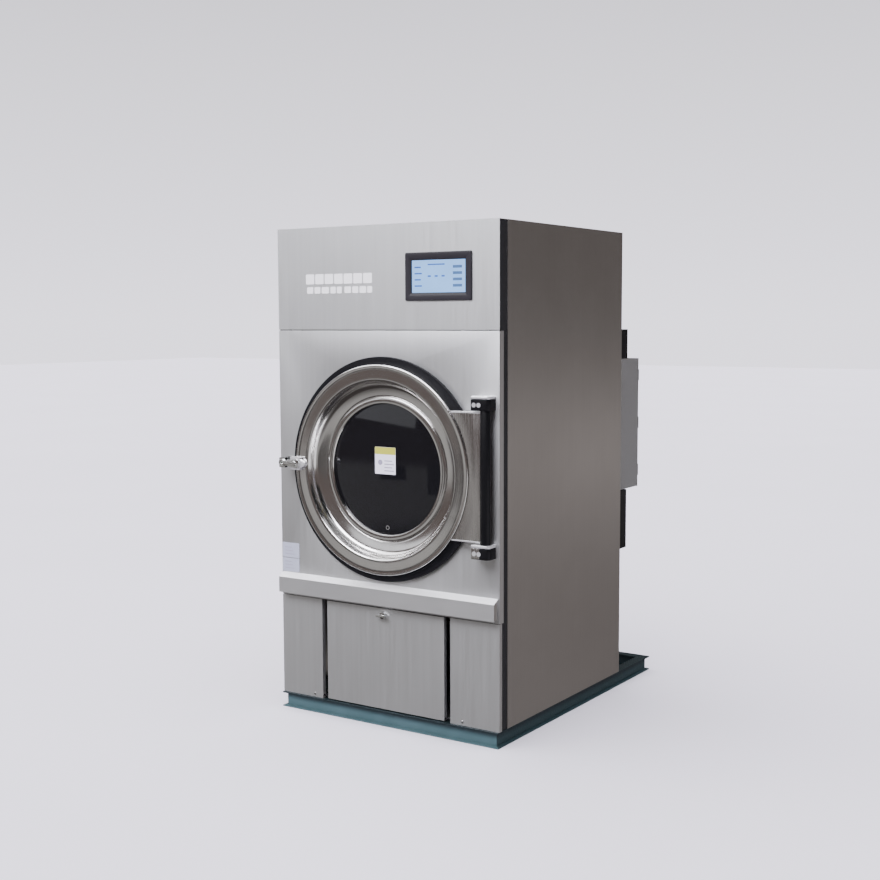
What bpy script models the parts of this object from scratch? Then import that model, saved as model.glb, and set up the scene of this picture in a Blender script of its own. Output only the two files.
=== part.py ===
"""Commercial tumble dryer as an assembly of separate named pieces.

Frame: metres, +Z up, floor at z = 0, the front faces -Y, and X is centred on the cabinet.
Depths are counted backwards from the front panels' outer plane with back(distance).
"""

import math

import bmesh
import bpy
from mathutils import Matrix, Vector

# ---------------------------------------------------------------- driving sizes, in metres
GAP = 0.0003
SHEET = 0.002
ROUND_STEPS = 40

WIDTH = 0.850
HEIGHT = 1.600
CABINET_DEPTH = 0.830
HALF = WIDTH / 2
FRONT_Y = -0.515

BASE_HEIGHT = 0.050
BASE_FLANGE = 0.037
BASE_REACH = 0.012
BASE_WEB = 0.006
BASE_TIP = 0.0035
BASE_ROOT = 0.006
BASE_FRONT = -0.008
BASE_REAR = 1.090

CONTROL_BOTTOM = 1.2725
FRONT_TOP = 1.2695
FRONT_BOTTOM = 0.386
LOWER_TOP = 0.3845
PANEL_BOTTOM = BASE_HEIGHT + 0.0005
FRONT_RETURN = 0.024
SIDE_START = 0.048

LEDGE_HALF = 0.420
LEDGE_DEPTH = 0.025
LEDGE_TOP = 0.463
LEDGE_LIP = 0.449
LEDGE_BOTTOM = 0.397

LINT_LEFT = -0.236
LINT_RIGHT = 0.224
LOWER_LEFT_EDGE = -0.257
LOWER_RIGHT_EDGE = 0.247
LINT_RETURN = 0.015
LINT_TOP_RETURN = 0.0095
LOCK_CAM_FRONT = 0.0105
LOCK_CAM_REAR = 0.0130
LINT_BOTTOM = 0.0535
LINT_AXIS_DEPTH = 0.006
LINT_AXIS_Z = 0.061
LINT_PIVOT_R = 0.003
LOCK_X = -0.009
LOCK_Z = 0.361

DOOR_Z = 0.831
DOOR_R = 0.3335
SEAL_R = 0.3577
THROAT_R = 0.290
OPENING_R = 0.296
GLASS_R = 0.222
GLASS_FRONT = 0.0127
GLASS_THICK = 0.006

HINGE_X = 0.391
HINGE_DEPTH = -0.024
HINGE_TUBE_R = 0.016
HINGE_PIN_R = 0.008
HINGE_HALF_SPAN = 0.202
HINGE_BLOCK_HEIGHT = 0.044
HINGE_PLATE_DEPTH = -0.030

LATCH_Z = 0.837
LATCH_PIVOT_X = -0.322
LATCH_FRONT = -0.060

DRUM_R = 0.375
DRUM_FRONT = 0.085
DRUM_REAR = 0.612
SHAFT_R = 0.020
LIFTER_COUNT = 3
LIFTER_HEIGHT = 0.062

FRONT_BULKHEAD = 0.070
REAR_BULKHEAD = 0.640
BULKHEAD_TOP = 1.290

PULLEY_DEPTH = 0.848
PULLEY_THICK = 0.026
DRUM_PULLEY_R = 0.180
MOTOR_PULLEY_R = 0.036
MOTOR_Z = 0.260
MOTOR_SHAFT_R = 0.012
MOTOR_SHAFT_END = 0.915

FAN_X = 0.160
FAN_Z = 0.240
FAN_R = 0.105
EXHAUST_X = 0.250
EXHAUST_Z = 0.550
EXHAUST_R = 0.070

SCREEN_X = 0.209
SCREEN_Z = 1.435
SCREEN_WIDTH = 0.242
SCREEN_HEIGHT = 0.147

SCROLL_STEPS = 12

BOX_LEFT = 0.210
BOX_RIGHT = 0.420
BOX_BOTTOM = 0.702
BOX_TOP = 1.162
BOX_REAR = 0.977
DUCT_LEFT = 0.362
DUCT_REAR = 0.889
DUCT_TOP = 1.267
DUCT_BOTTOM = 0.491


def back(distance):
    """World y of a depth behind the front panels' outer plane."""
    return FRONT_Y + distance


# ---------------------------------------------------------------- scene and materials
def clear_scene():
    for item in list(bpy.data.objects):
        bpy.data.objects.remove(item, do_unlink=True)


FINISHES = {
    "brushed_steel": ((0.56, 0.56, 0.57), 0.34, 1.0),
    "polished_steel": ((0.74, 0.73, 0.71), 0.10, 1.0),
    "galvanised": ((0.48, 0.49, 0.50), 0.45, 1.0),
    "base_paint": ((0.060, 0.120, 0.130), 0.45, 0.0),
    "black_paint": ((0.012, 0.012, 0.013), 0.35, 0.0),
    "grey_paint": ((0.17, 0.17, 0.16), 0.45, 0.0),
    "black_rubber": ((0.010, 0.010, 0.011), 0.60, 0.0),
    "dark_glass": ((0.010, 0.011, 0.014), 0.05, 0.0),
    "bezel_plastic": ((0.045, 0.038, 0.038), 0.40, 0.0),
    "screen": ((0.40, 0.62, 0.93), 0.12, 0.0),
    "chrome": ((0.80, 0.80, 0.80), 0.06, 1.0),
    "motor_paint": ((0.10, 0.13, 0.15), 0.50, 0.0),
    "cast_iron": ((0.12, 0.12, 0.12), 0.60, 0.6),
    "screen_mesh": ((0.50, 0.50, 0.49), 0.40, 1.0),
}


def material(finish):
    found = bpy.data.materials.get(finish)
    if found:
        return found
    colour, roughness, metallic = FINISHES[finish]
    made = bpy.data.materials.new(finish)
    made.use_nodes = True
    shader = made.node_tree.nodes["Principled BSDF"]
    shader.inputs["Base Color"].default_value = (*colour, 1.0)
    shader.inputs["Roughness"].default_value = roughness
    shader.inputs["Metallic"].default_value = metallic
    return made


# ---------------------------------------------------------------- building tools
def add_object(name, mesh, finish, parent=None):
    mesh.materials.clear()
    mesh.materials.append(material(finish))
    made = bpy.data.objects.new(name, mesh)
    bpy.context.scene.collection.objects.link(made)
    if parent is not None:
        made.parent = parent
        made.matrix_parent_inverse = parent.matrix_world.inverted()
    return made


def mesh_from(name, shape):
    bmesh.ops.recalc_face_normals(shape, faces=shape.faces)
    mesh = bpy.data.meshes.new(name)
    shape.to_mesh(mesh)
    shape.free()
    return mesh


def box_mesh(name, low, high):
    """Axis-aligned box between two corners."""
    shape = bmesh.new()
    low, high = Vector(low), Vector(high)
    size = high - low
    place = Matrix.Translation((low + high) / 2) @ Matrix.Diagonal((*size, 1.0))
    bmesh.ops.create_cube(shape, size=1.0, matrix=place)
    return mesh_from(name, shape)


def prism_mesh(name, outline, axis, start, end):
    """Outline of two-number points, swept along one axis from start to end.

    axis X takes (y, z) points, axis Y takes (x, z) points and axis Z takes (x, y) points.
    start and end are numbers, or functions of an outline point where the ends are cut at an angle.
    """
    shape = bmesh.new()

    def place(point, along):
        value = along(point) if callable(along) else along
        a, b = point
        return {"X": (value, a, b), "Y": (a, value, b), "Z": (a, b, value)}[axis]

    near = [shape.verts.new(place(p, start)) for p in outline]
    far = [shape.verts.new(place(p, end)) for p in outline]
    shape.faces.new(near)
    shape.faces.new(list(reversed(far)))
    count = len(outline)
    for i in range(count):
        j = (i + 1) % count
        shape.faces.new((near[i], near[j], far[j], far[i]))
    return mesh_from(name, shape)


def turned_mesh(name, profile, centre, steps=ROUND_STEPS, axis="Y"):
    """Closed (radius, along) profile turned into a ring about an axis through centre."""
    shape = bmesh.new()
    cx, cy, cz = centre
    rings = []
    for step in range(steps):
        turn = 2 * math.pi * (step + 0.5) / steps
        c, s = math.cos(turn), math.sin(turn)
        ring = []
        for radius, along in profile:
            if axis == "Y":
                spot = (cx + radius * c, cy + along, cz + radius * s)
            elif axis == "Z":
                spot = (cx + radius * c, cy + radius * s, cz + along)
            else:
                spot = (cx + along, cy + radius * c, cz + radius * s)
            ring.append(shape.verts.new(spot))
        rings.append(ring)
    count = len(profile)
    for step in range(steps):
        here, there = rings[step], rings[(step + 1) % steps]
        for i in range(count):
            j = (i + 1) % count
            shape.faces.new((here[i], here[j], there[j], there[i]))
    return mesh_from(name, shape)


def solid_turned_mesh(name, profile, centre, steps=24, axis="Y"):
    """Turned shape with no bore: the profile starts and ends on the axis, at radius 0."""
    shape = bmesh.new()
    cx, cy, cz = centre

    def spot(radius, along, turn):
        c, s = radius * math.cos(turn), radius * math.sin(turn)
        return {"X": (cx + along, cy + c, cz + s), "Y": (cx + c, cy + along, cz + s),
                "Z": (cx + c, cy + s, cz + along)}[axis]

    first = shape.verts.new(spot(0, profile[0][1], 0))
    last = shape.verts.new(spot(0, profile[-1][1], 0))
    turns = [2 * math.pi * (step + 0.5) / steps for step in range(steps)]
    rings = [[shape.verts.new(spot(r, along, turn)) for r, along in profile[1:-1]] for turn in turns]
    for step in range(steps):
        here, there = rings[step], rings[(step + 1) % steps]
        shape.faces.new((first, here[0], there[0]))
        shape.faces.new((last, there[-1], here[-1]))
        for i in range(len(here) - 1):
            shape.faces.new((here[i], here[i + 1], there[i + 1], there[i]))
    return mesh_from(name, shape)


def circle(centre, radius, steps, phase=0.5):
    """Points of a circle, anticlockwise."""
    points = []
    for step in range(steps):
        turn = 2 * math.pi * (step + phase) / steps
        points.append((centre[0] + radius * math.cos(turn), centre[1] + radius * math.sin(turn)))
    return points


def arc(centre, radius, first, last, steps):
    """Points of an arc between two angles in degrees, both ends included."""
    points = []
    for step in range(steps + 1):
        turn = math.radians(first + (last - first) * step / steps)
        points.append((centre[0] + radius * math.cos(turn), centre[1] + radius * math.sin(turn)))
    return points


def rod_mesh(name, radius, centre, start, end, axis="Y", steps=24):
    """Solid round bar along an axis. centre holds the two other coordinates."""
    return prism_mesh(name, circle(centre, radius, steps), axis, start, end)


def combine(target, mesh, operation):
    """Adds or cuts a mesh with an exact Boolean, and keeps the tool out of the model."""
    tool = bpy.data.objects.new(f"tool_{target.name}_{len(target.modifiers)}", mesh)
    bpy.context.scene.collection.objects.link(tool)
    tool.hide_render = True
    tool.display_type = "WIRE"
    step = target.modifiers.new(f"{operation.lower()}_{len(target.modifiers)}", "BOOLEAN")
    step.operation = operation
    step.solver = "EXACT"
    step.object = tool
    return target


def cut(target, mesh):
    return combine(target, mesh, "DIFFERENCE")


def join(target, mesh):
    return combine(target, mesh, "UNION")


def smooth(target, degrees=35):
    """Smooth shading with crisp edges where faces meet at more than the given angle."""
    target.data.shade_smooth()
    target.data.set_sharp_from_angle(angle=math.radians(degrees))
    return target


def pivot(name, location):
    """Empty on a joint's axis, which carries the pieces that turn there."""
    empty = bpy.data.objects.new(name, None)
    bpy.context.scene.collection.objects.link(empty)
    empty.location = location
    bpy.context.view_layer.update()
    return empty


# ---------------------------------------------------------------- base frame
def rail_outline():
    """Rolled section with flanges on both sides of its web: (distance in from the outer face, height)."""
    inner, top = BASE_FLANGE, BASE_HEIGHT
    web_start, web_end = BASE_REACH, BASE_REACH + BASE_WEB
    return [
        (0, 0), (inner, 0), (inner, BASE_TIP), (web_end, BASE_ROOT),
        (web_end, top - BASE_ROOT), (inner, top - BASE_TIP), (inner, top), (0, top),
        (0, top - BASE_TIP), (web_start, top - BASE_ROOT), (web_start, BASE_ROOT), (0, BASE_TIP),
    ]


def mitred_rail(name, axis, outer, inwards, low, high):
    """Rail along X or Y whose ends are cut at 45 degrees. inwards is +1 or -1 along the other axis."""
    outline = [(outer + inwards * u, z) for u, z in rail_outline()]

    def inset(point):
        return abs(point[0] - outer) + GAP

    mesh = prism_mesh(name, outline, axis, lambda p: low + inset(p), lambda p: high - inset(p))
    return add_object(name, mesh, "base_paint")


def base_frame():
    front, rear = back(BASE_FRONT), back(BASE_REAR)
    mitred_rail("base_rail_left", "Y", -HALF, 1, front, rear)
    mitred_rail("base_rail_right", "Y", HALF, -1, front, rear)
    mitred_rail("base_rail_front", "X", front, 1, -HALF, HALF)
    mitred_rail("base_rail_rear", "X", rear, -1, -HALF, HALF)
    start = back(CABINET_DEPTH) - BASE_FLANGE * 0.6
    outline = [(start + u, z) for u, z in rail_outline()]
    reach = HALF - BASE_FLANGE - GAP
    mesh = prism_mesh("base_cross_rail", outline, "X", -reach, reach)
    add_object("base_cross_rail", mesh, "base_paint")


# ---------------------------------------------------------------- cabinet panels
def front_with_returns(name, left, right, bottom, top, depth, sides, finish="brushed_steel"):
    """Flat panel whose left and right edges fold back, where sides asks for it. Open top and bottom."""
    outline = [(left, back(0)), (right, back(0))]
    if "right" in sides:
        outline += [(right, back(depth)), (right - SHEET, back(depth)), (right - SHEET, back(SHEET))]
    else:
        outline += [(right, back(SHEET))]
    if "left" in sides:
        outline += [(left + SHEET, back(SHEET)), (left + SHEET, back(depth)), (left, back(depth))]
    else:
        outline += [(left, back(SHEET))]
    return add_object(name, prism_mesh(name, outline, "Z", bottom, top), finish)


def front_panels():
    control = front_with_returns("control_panel", -HALF, HALF, CONTROL_BOTTOM, HEIGHT, 0, "")
    half_w, half_h = SCREEN_WIDTH / 2 - 0.010, SCREEN_HEIGHT / 2 - 0.010
    cut(control, box_mesh("screen_cutout", (SCREEN_X - half_w, back(-0.05), SCREEN_Z - half_h),
                          (SCREEN_X + half_w, back(0.05), SCREEN_Z + half_h)))
    front = front_with_returns("front_panel", -HALF, HALF, FRONT_BOTTOM, FRONT_TOP, FRONT_RETURN, "left right")
    cut(front, rod_mesh("opening", OPENING_R, (0, DOOR_Z), back(-0.05), back(0.015), steps=ROUND_STEPS))
    for name, left, right, pivot_edge in (
        ("lower_panel_left", -HALF, LOWER_LEFT_EDGE, LOWER_LEFT_EDGE),
        ("lower_panel_right", LOWER_RIGHT_EDGE, HALF, LOWER_RIGHT_EDGE),
    ):
        panel = front_with_returns(name, left, right, PANEL_BOTTOM, LOWER_TOP, LINT_RETURN, "left right")
        hole = rod_mesh("pivot_hole", LINT_PIVOT_R + 0.0005, (back(LINT_AXIS_DEPTH), LINT_AXIS_Z),
                        pivot_edge - 0.01, pivot_edge + 0.01, axis="X", steps=12)
        cut(panel, hole)


def ledge():
    """Bent drip rail across the front, with a sloping top."""
    wall = -GAP
    outer = [(back(wall), LEDGE_TOP), (back(-LEDGE_DEPTH), LEDGE_LIP), (back(-LEDGE_DEPTH), LEDGE_BOTTOM)]
    inner = [
        (back(-LEDGE_DEPTH + SHEET), LEDGE_BOTTOM),
        (back(-LEDGE_DEPTH + SHEET), LEDGE_LIP - 0.001),
        (back(wall - SHEET), LEDGE_TOP - SHEET * 1.3),
        (back(wall - SHEET), LEDGE_TOP - 0.025),
        (back(wall), LEDGE_TOP - 0.025),
    ]
    mesh = prism_mesh("ledge", outer + inner, "X", -LEDGE_HALF, LEDGE_HALF)
    add_object("ledge", mesh, "brushed_steel")


def shell_panels():
    side_low, side_high = back(SIDE_START), back(CABINET_DEPTH)
    for name, side in (("left_side_panel", -1), ("right_side_panel", 1)):
        inner, outer = sorted((side * (HALF - SHEET), side * HALF))
        mesh = box_mesh(name, (inner, side_low, PANEL_BOTTOM), (outer, side_high, HEIGHT))
        add_object(name, mesh, "brushed_steel")
    inside = HALF - SHEET - GAP
    rear_face = back(CABINET_DEPTH)
    top = box_mesh("top_panel", (-inside, back(SHEET + GAP), HEIGHT - SHEET),
                   (inside, rear_face - SHEET - GAP, HEIGHT))
    add_object("top_panel", top, "brushed_steel")
    rear = add_object("rear_panel", box_mesh("rear_panel", (-inside, rear_face - SHEET, PANEL_BOTTOM),
                                             (inside, rear_face, HEIGHT)), "galvanised")
    before, behind = rear_face - 0.02, rear_face + 0.02
    cut(rear, rod_mesh("shaft_hole", SHAFT_R + 0.008, (0, DOOR_Z), before, behind, steps=16))
    cut(rear, rod_mesh("fan_hole", 0.018, (FAN_X, FAN_Z), before, behind, steps=16))
    cut(rear, rod_mesh("exhaust_hole", EXHAUST_R + 0.002, (EXHAUST_X, EXHAUST_Z), before, behind, steps=24))
    for row in range(5):
        low = 1.330 + row * 0.040
        cut(rear, box_mesh("inlet_slot", (-0.16, before, low), (0.16, behind, low + 0.012)))


def corner_posts():
    """Black angle posts that show between the front panels and the side panels."""
    start, end = back(SHEET + 0.001), back(SIDE_START + 0.012)
    outer = HALF - SHEET - GAP
    for name, side in (("corner_post_left", -1), ("corner_post_right", 1)):
        outline = [
            (side * outer, start), (side * outer, end), (side * (outer - 0.003), end),
            (side * (outer - 0.003), start + 0.003), (side * (outer - 0.035), start + 0.003),
            (side * (outer - 0.035), start),
        ]
        top = HEIGHT - SHEET - GAP
        add_object(name, prism_mesh(name, outline, "Z", PANEL_BOTTOM, top), "black_paint")


def touchscreen():
    """Moulded housing through the control panel, with the lit glass in its frame."""
    half_w, half_h = SCREEN_WIDTH / 2, SCREEN_HEIGHT / 2
    frame_face = back(-0.006)
    housing = add_object("touchscreen_housing", box_mesh(
        "touchscreen_housing", (SCREEN_X - half_w, frame_face, SCREEN_Z - half_h),
        (SCREEN_X + half_w, back(-GAP), SCREEN_Z + half_h)), "bezel_plastic")
    body_w, body_h = half_w - 0.011, half_h - 0.011
    join(housing, box_mesh("body", (SCREEN_X - body_w, back(-0.002), SCREEN_Z - body_h),
                           (SCREEN_X + body_w, back(0.040), SCREEN_Z + body_h)))
    glass_w, glass_h = half_w - 0.0235, half_h - 0.0235
    cut(housing, box_mesh("recess", (SCREEN_X - glass_w, back(-0.02), SCREEN_Z - glass_h),
                          (SCREEN_X + glass_w, back(0.002), SCREEN_Z + glass_h)))
    glass_w, glass_h = glass_w - GAP, glass_h - GAP
    add_object("touchscreen_glass", box_mesh(
        "touchscreen_glass", (SCREEN_X - glass_w, back(-0.001), SCREEN_Z - glass_h),
        (SCREEN_X + glass_w, back(0.002 - GAP), SCREEN_Z + glass_h)), "screen")


# ---------------------------------------------------------------- lint door
def lint_door():
    hinge = pivot("lint_door_axis", (0, back(LINT_AXIS_DEPTH), LINT_AXIS_Z))
    top = LOWER_TOP - 0.001
    mesh = prism_mesh("lint_door", [
        (LINT_LEFT, back(0)), (LINT_RIGHT, back(0)),
        (LINT_RIGHT, back(LINT_RETURN)), (LINT_RIGHT - SHEET, back(LINT_RETURN)),
        (LINT_RIGHT - SHEET, back(SHEET)), (LINT_LEFT + SHEET, back(SHEET)),
        (LINT_LEFT + SHEET, back(LINT_RETURN)), (LINT_LEFT, back(LINT_RETURN)),
    ], "Z", LINT_BOTTOM, top)
    door = add_object("lint_door", mesh, "brushed_steel", hinge)
    join(door, box_mesh("top_return", (LINT_LEFT + SHEET / 2, back(SHEET / 2), top - SHEET),
                        (LINT_RIGHT - SHEET / 2, back(LINT_TOP_RETURN), top)))
    for inner, outer in ((LINT_LEFT + SHEET / 2, LOWER_LEFT_EDGE - 0.004),
                         (LINT_RIGHT - SHEET / 2, LOWER_RIGHT_EDGE + 0.004)):
        low, high = sorted((inner, outer))
        join(door, rod_mesh("stub", LINT_PIVOT_R, (back(LINT_AXIS_DEPTH), LINT_AXIS_Z), low, high,
                            axis="X", steps=12))
    cut(door, rod_mesh("lock_hole", 0.0084, (LOCK_X, LOCK_Z), back(-0.01), back(0.01), steps=16))
    lint_lock(hinge)


def lint_lock(hinge):
    """Quarter-turn lock: a wing knob on a barrel, and the cam that reaches behind the front panel."""
    turn = pivot("lint_lock_axis", (LOCK_X, back(0), LOCK_Z))
    turn.parent = hinge
    turn.matrix_parent_inverse = hinge.matrix_world.inverted()
    bpy.context.view_layer.update()
    lock = add_object("lint_lock", solid_turned_mesh("lint_lock", [
        (0, LOCK_CAM_REAR), (0.0080, LOCK_CAM_REAR), (0.0080, -GAP), (0.0120, -GAP), (0.0120, -0.0065),
        (0.0100, -0.0085), (0, -0.0085),
    ], (LOCK_X, back(0), LOCK_Z), steps=16), "chrome", turn)
    join(lock, box_mesh("wing", (LOCK_X - 0.019, back(-0.018), LOCK_Z - 0.0035),
                        (LOCK_X + 0.019, back(-0.007), LOCK_Z + 0.0035)))
    cam = arc((LOCK_X, LOCK_Z), 0.011, -90, 90, 8)
    cam += [(LOCK_X - 0.036, LOCK_Z + 0.011), (LOCK_X - 0.036, LOCK_Z - 0.011)]
    join(lock, prism_mesh("cam", cam, "Y", back(LOCK_CAM_FRONT), back(LOCK_CAM_REAR)))


# ---------------------------------------------------------------- round door
def door_ring_profile():
    """Pressed sheet ring as (radius, depth): outer wall, rolled edge, dish, step and glass flange."""
    face = [
        (DOOR_R, -0.0131), (DOOR_R, -0.0320), (0.3315, -0.0346), (0.3285, -0.0350), (0.3250, -0.0340),
        (0.2890, -0.0336), (0.2835, -0.0318), (0.2790, -0.0275), (0.2755, -0.0180), (0.2700, -0.0060),
        (0.2620, 0.0030), (0.2520, 0.0072), (0.2325, 0.0078), (0.2305, 0.0098), (0.2305, 0.0215),
        (0.2120, 0.0215),
    ]
    rear = [
        (0.2120, 0.0235), (0.2325, 0.0235), (0.2328, 0.0100), (0.2526, 0.0092), (0.2634, 0.0045),
        (0.2717, -0.0049), (0.2775, -0.0174), (0.2809, -0.0265), (0.2895, -0.0316), (0.3250, -0.0320),
        (0.3300, -0.0326), (0.3315, -0.0151), (0.3060, -0.0151), (0.3060, -0.0131),
    ]
    return face + rear


def door():
    hinge = pivot("door_axis", (HINGE_X, back(HINGE_DEPTH), DOOR_Z))
    centre = (0, back(0), DOOR_Z)
    ring = add_object("door_ring", turned_mesh("door_ring", door_ring_profile(), centre, steps=ROUND_STEPS),
                      "polished_steel", hinge)
    smooth(ring)
    glass_back = GLASS_FRONT + GLASS_THICK
    glass = add_object("door_glass", rod_mesh("door_glass", GLASS_R, (0, DOOR_Z), back(GLASS_FRONT),
                                              back(glass_back), steps=ROUND_STEPS), "dark_glass", hinge)
    smooth(glass)
    gasket = turned_mesh("glass_gasket", [
        (0.2225, GLASS_FRONT), (0.2300, GLASS_FRONT), (0.2300, 0.0212), (0.2140, 0.0212),
        (0.2140, glass_back + GAP), (0.2225, glass_back + GAP),
    ], centre)
    smooth(add_object("glass_gasket", gasket, "black_rubber", hinge))
    clamp = turned_mesh("glass_clamp_ring", [
        (0.2300, GLASS_FRONT - GAP), (0.2300, 0.0065), (0.2262, 0.0040), (0.2190, 0.0034),
        (0.2130, 0.0056), (0.2088, 0.0105), (0.2085, GLASS_FRONT - GAP),
    ], centre)
    smooth(add_object("glass_clamp_ring", clamp, "polished_steel", hinge))
    seal = turned_mesh("door_seal", [
        (0.3000, -0.0127), (0.3000, -0.0008), (0.3560, -0.0008), (SEAL_R, -0.0030),
        (SEAL_R, -0.0105), (0.3560, -0.0127),
    ], centre)
    smooth(add_object("door_seal", seal, "black_rubber", hinge))
    door_hinge(hinge)
    door_latch(hinge)


def door_hinge(hinge):
    """Hinge plate and tube on the door; pin and two blocks on the cabinet."""
    low, high = DOOR_Z - HINGE_HALF_SPAN + 0.004, DOOR_Z + HINGE_HALF_SPAN - 0.004
    inner_r = DOOR_R + 0.0008
    spread = math.degrees(math.asin((high - DOOR_Z) / inner_r))
    right = HINGE_X - HINGE_TUBE_R - GAP
    outline = arc((0, DOOR_Z), inner_r, -spread, spread, 14) + [(right, high), (right, low)]
    plate = add_object("hinge_plate", prism_mesh("hinge_plate", outline, "Y", back(HINGE_PLATE_DEPTH),
                                                 back(HINGE_PLATE_DEPTH + 0.003)), "polished_steel", hinge)
    edge_left = inner_r * math.cos(math.radians(spread)) + 0.003
    for bottom, top in ((high - 0.003, high), (low, low + 0.003)):
        join(plate, box_mesh("fold", (edge_left, back(HINGE_PLATE_DEPTH + 0.001), bottom),
                             (right, back(-0.0135), top)))
    tube_low = DOOR_Z - HINGE_HALF_SPAN + 0.0005
    tube_high = DOOR_Z + HINGE_HALF_SPAN - 0.0005
    bore = HINGE_PIN_R + 0.0004
    tube = turned_mesh("hinge_tube", [
        (bore, tube_low), (HINGE_TUBE_R, tube_low), (HINGE_TUBE_R, tube_high), (bore, tube_high),
    ], (HINGE_X, back(HINGE_DEPTH), 0), steps=24, axis="Z")
    smooth(add_object("hinge_tube", tube, "black_paint", hinge))
    centre = (HINGE_X, back(HINGE_DEPTH))
    reach = HINGE_HALF_SPAN + HINGE_BLOCK_HEIGHT
    pin = rod_mesh("hinge_pin", HINGE_PIN_R, centre, DOOR_Z - reach + 0.004, DOOR_Z + reach - 0.004, axis="Z")
    smooth(add_object("hinge_pin", pin, "polished_steel"))
    for name, low in (("hinge_block_top", DOOR_Z + HINGE_HALF_SPAN),
                      ("hinge_block_bottom", DOOR_Z - reach)):
        high = low + HINGE_BLOCK_HEIGHT
        block = add_object(name, box_mesh(name, (0.350, back(HINGE_DEPTH - 0.018), low),
                                          (0.412, back(-GAP), high)), "black_paint")
        cut(block, rod_mesh("bore", bore, centre, low - 0.01, high + 0.01, axis="Z"))


def door_latch(hinge):
    """Lever on the door that draws a tongue back from a strike on the cabinet."""
    body_back, body_front = -0.0354, -0.0500
    body = add_object("latch_body", box_mesh(
        "latch_body", (-0.345, back(body_front), LATCH_Z - 0.022),
        (-0.304, back(body_back), LATCH_Z + 0.022)), "chrome", hinge)
    cut(body, box_mesh("tongue_slot", (-0.36, back(-0.0465), LATCH_Z - 0.0105),
                       (-0.308, back(-0.0385), LATCH_Z + 0.0105)))
    tongue_low, tongue_high = -0.3645, -0.320
    tongue_depth = (-0.0460, -0.0390)
    tongue = box_mesh("latch_tongue", (tongue_low, back(tongue_depth[0]), LATCH_Z - 0.010),
                      (tongue_high, back(tongue_depth[1]), LATCH_Z + 0.010))
    slide = pivot("latch_tongue_axis", (tongue_low, back(-0.0425), LATCH_Z))
    slide.parent = hinge
    slide.matrix_parent_inverse = hinge.matrix_world.inverted()
    bpy.context.view_layer.update()
    add_object("latch_tongue", tongue, "chrome", slide)
    turn = pivot("latch_lever_axis", (LATCH_PIVOT_X, back(body_front), LATCH_Z))
    turn.parent = hinge
    turn.matrix_parent_inverse = hinge.matrix_world.inverted()
    bpy.context.view_layer.update()
    tip = -0.3895
    outline = (arc((LATCH_PIVOT_X, LATCH_Z), 0.018, -62, 62, 8)
               + [(tip + 0.010, LATCH_Z + 0.012)] + arc((tip + 0.012, LATCH_Z), 0.012, 110, 250, 6)
               + [(tip + 0.010, LATCH_Z - 0.012)])
    lever = prism_mesh("latch_lever", outline, "Y", back(LATCH_FRONT), back(body_front - GAP))
    add_object("latch_lever", lever, "chrome", turn)
    strike = prism_mesh("latch_strike", [
        (-0.390, back(-GAP)), (-0.390, back(-0.0500)), (-0.365, back(-0.0500)),
        (-0.365, back(-0.0380)), (-0.368, back(-0.0380)), (-0.368, back(-0.0470)), (-0.387, back(-0.0470)),
        (-0.387, back(-0.0033)), (-0.372, back(-0.0033)), (-0.372, back(-GAP)),
    ], "Z", LATCH_Z - 0.016, LATCH_Z + 0.016)
    add_object("latch_strike", strike, "chrome")


# ---------------------------------------------------------------- drum and its bearings
def bulkheads():
    inside = HALF - SHEET - 0.001
    low, high = 0.430, BULKHEAD_TOP
    front_low, front_high = back(FRONT_BULKHEAD), back(FRONT_BULKHEAD + SHEET)
    front = add_object("front_bulkhead", box_mesh("front_bulkhead", (-inside + 0.036, front_low, low),
                                                  (inside - 0.036, front_high, high)), "galvanised")
    cut(front, rod_mesh("opening", THROAT_R + 0.001, (0, DOOR_Z), front_low - 0.01, front_high + 0.01,
                        steps=ROUND_STEPS))
    collar = turned_mesh("collar", [
        (THROAT_R, 0.0030), (THROAT_R + SHEET, 0.0030), (THROAT_R + SHEET, DRUM_FRONT + 0.012),
        (THROAT_R, DRUM_FRONT + 0.012),
    ], (0, back(0), DOOR_Z))
    join(front, collar)
    rear_low, rear_high = back(REAR_BULKHEAD), back(REAR_BULKHEAD + SHEET)
    rear = add_object("rear_bulkhead", box_mesh("rear_bulkhead", (-inside, rear_low, 0.060),
                                                (inside, rear_high, high)), "galvanised")
    cut(rear, rod_mesh("shaft_hole", SHAFT_R + 0.006, (0, DOOR_Z), rear_low - 0.01, rear_high + 0.01,
                       steps=16))
    cut(rear, rod_mesh("fan_inlet", FAN_R * 0.72, (FAN_X, FAN_Z), rear_low - 0.01, rear_high + 0.01,
                       steps=24))


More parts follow.
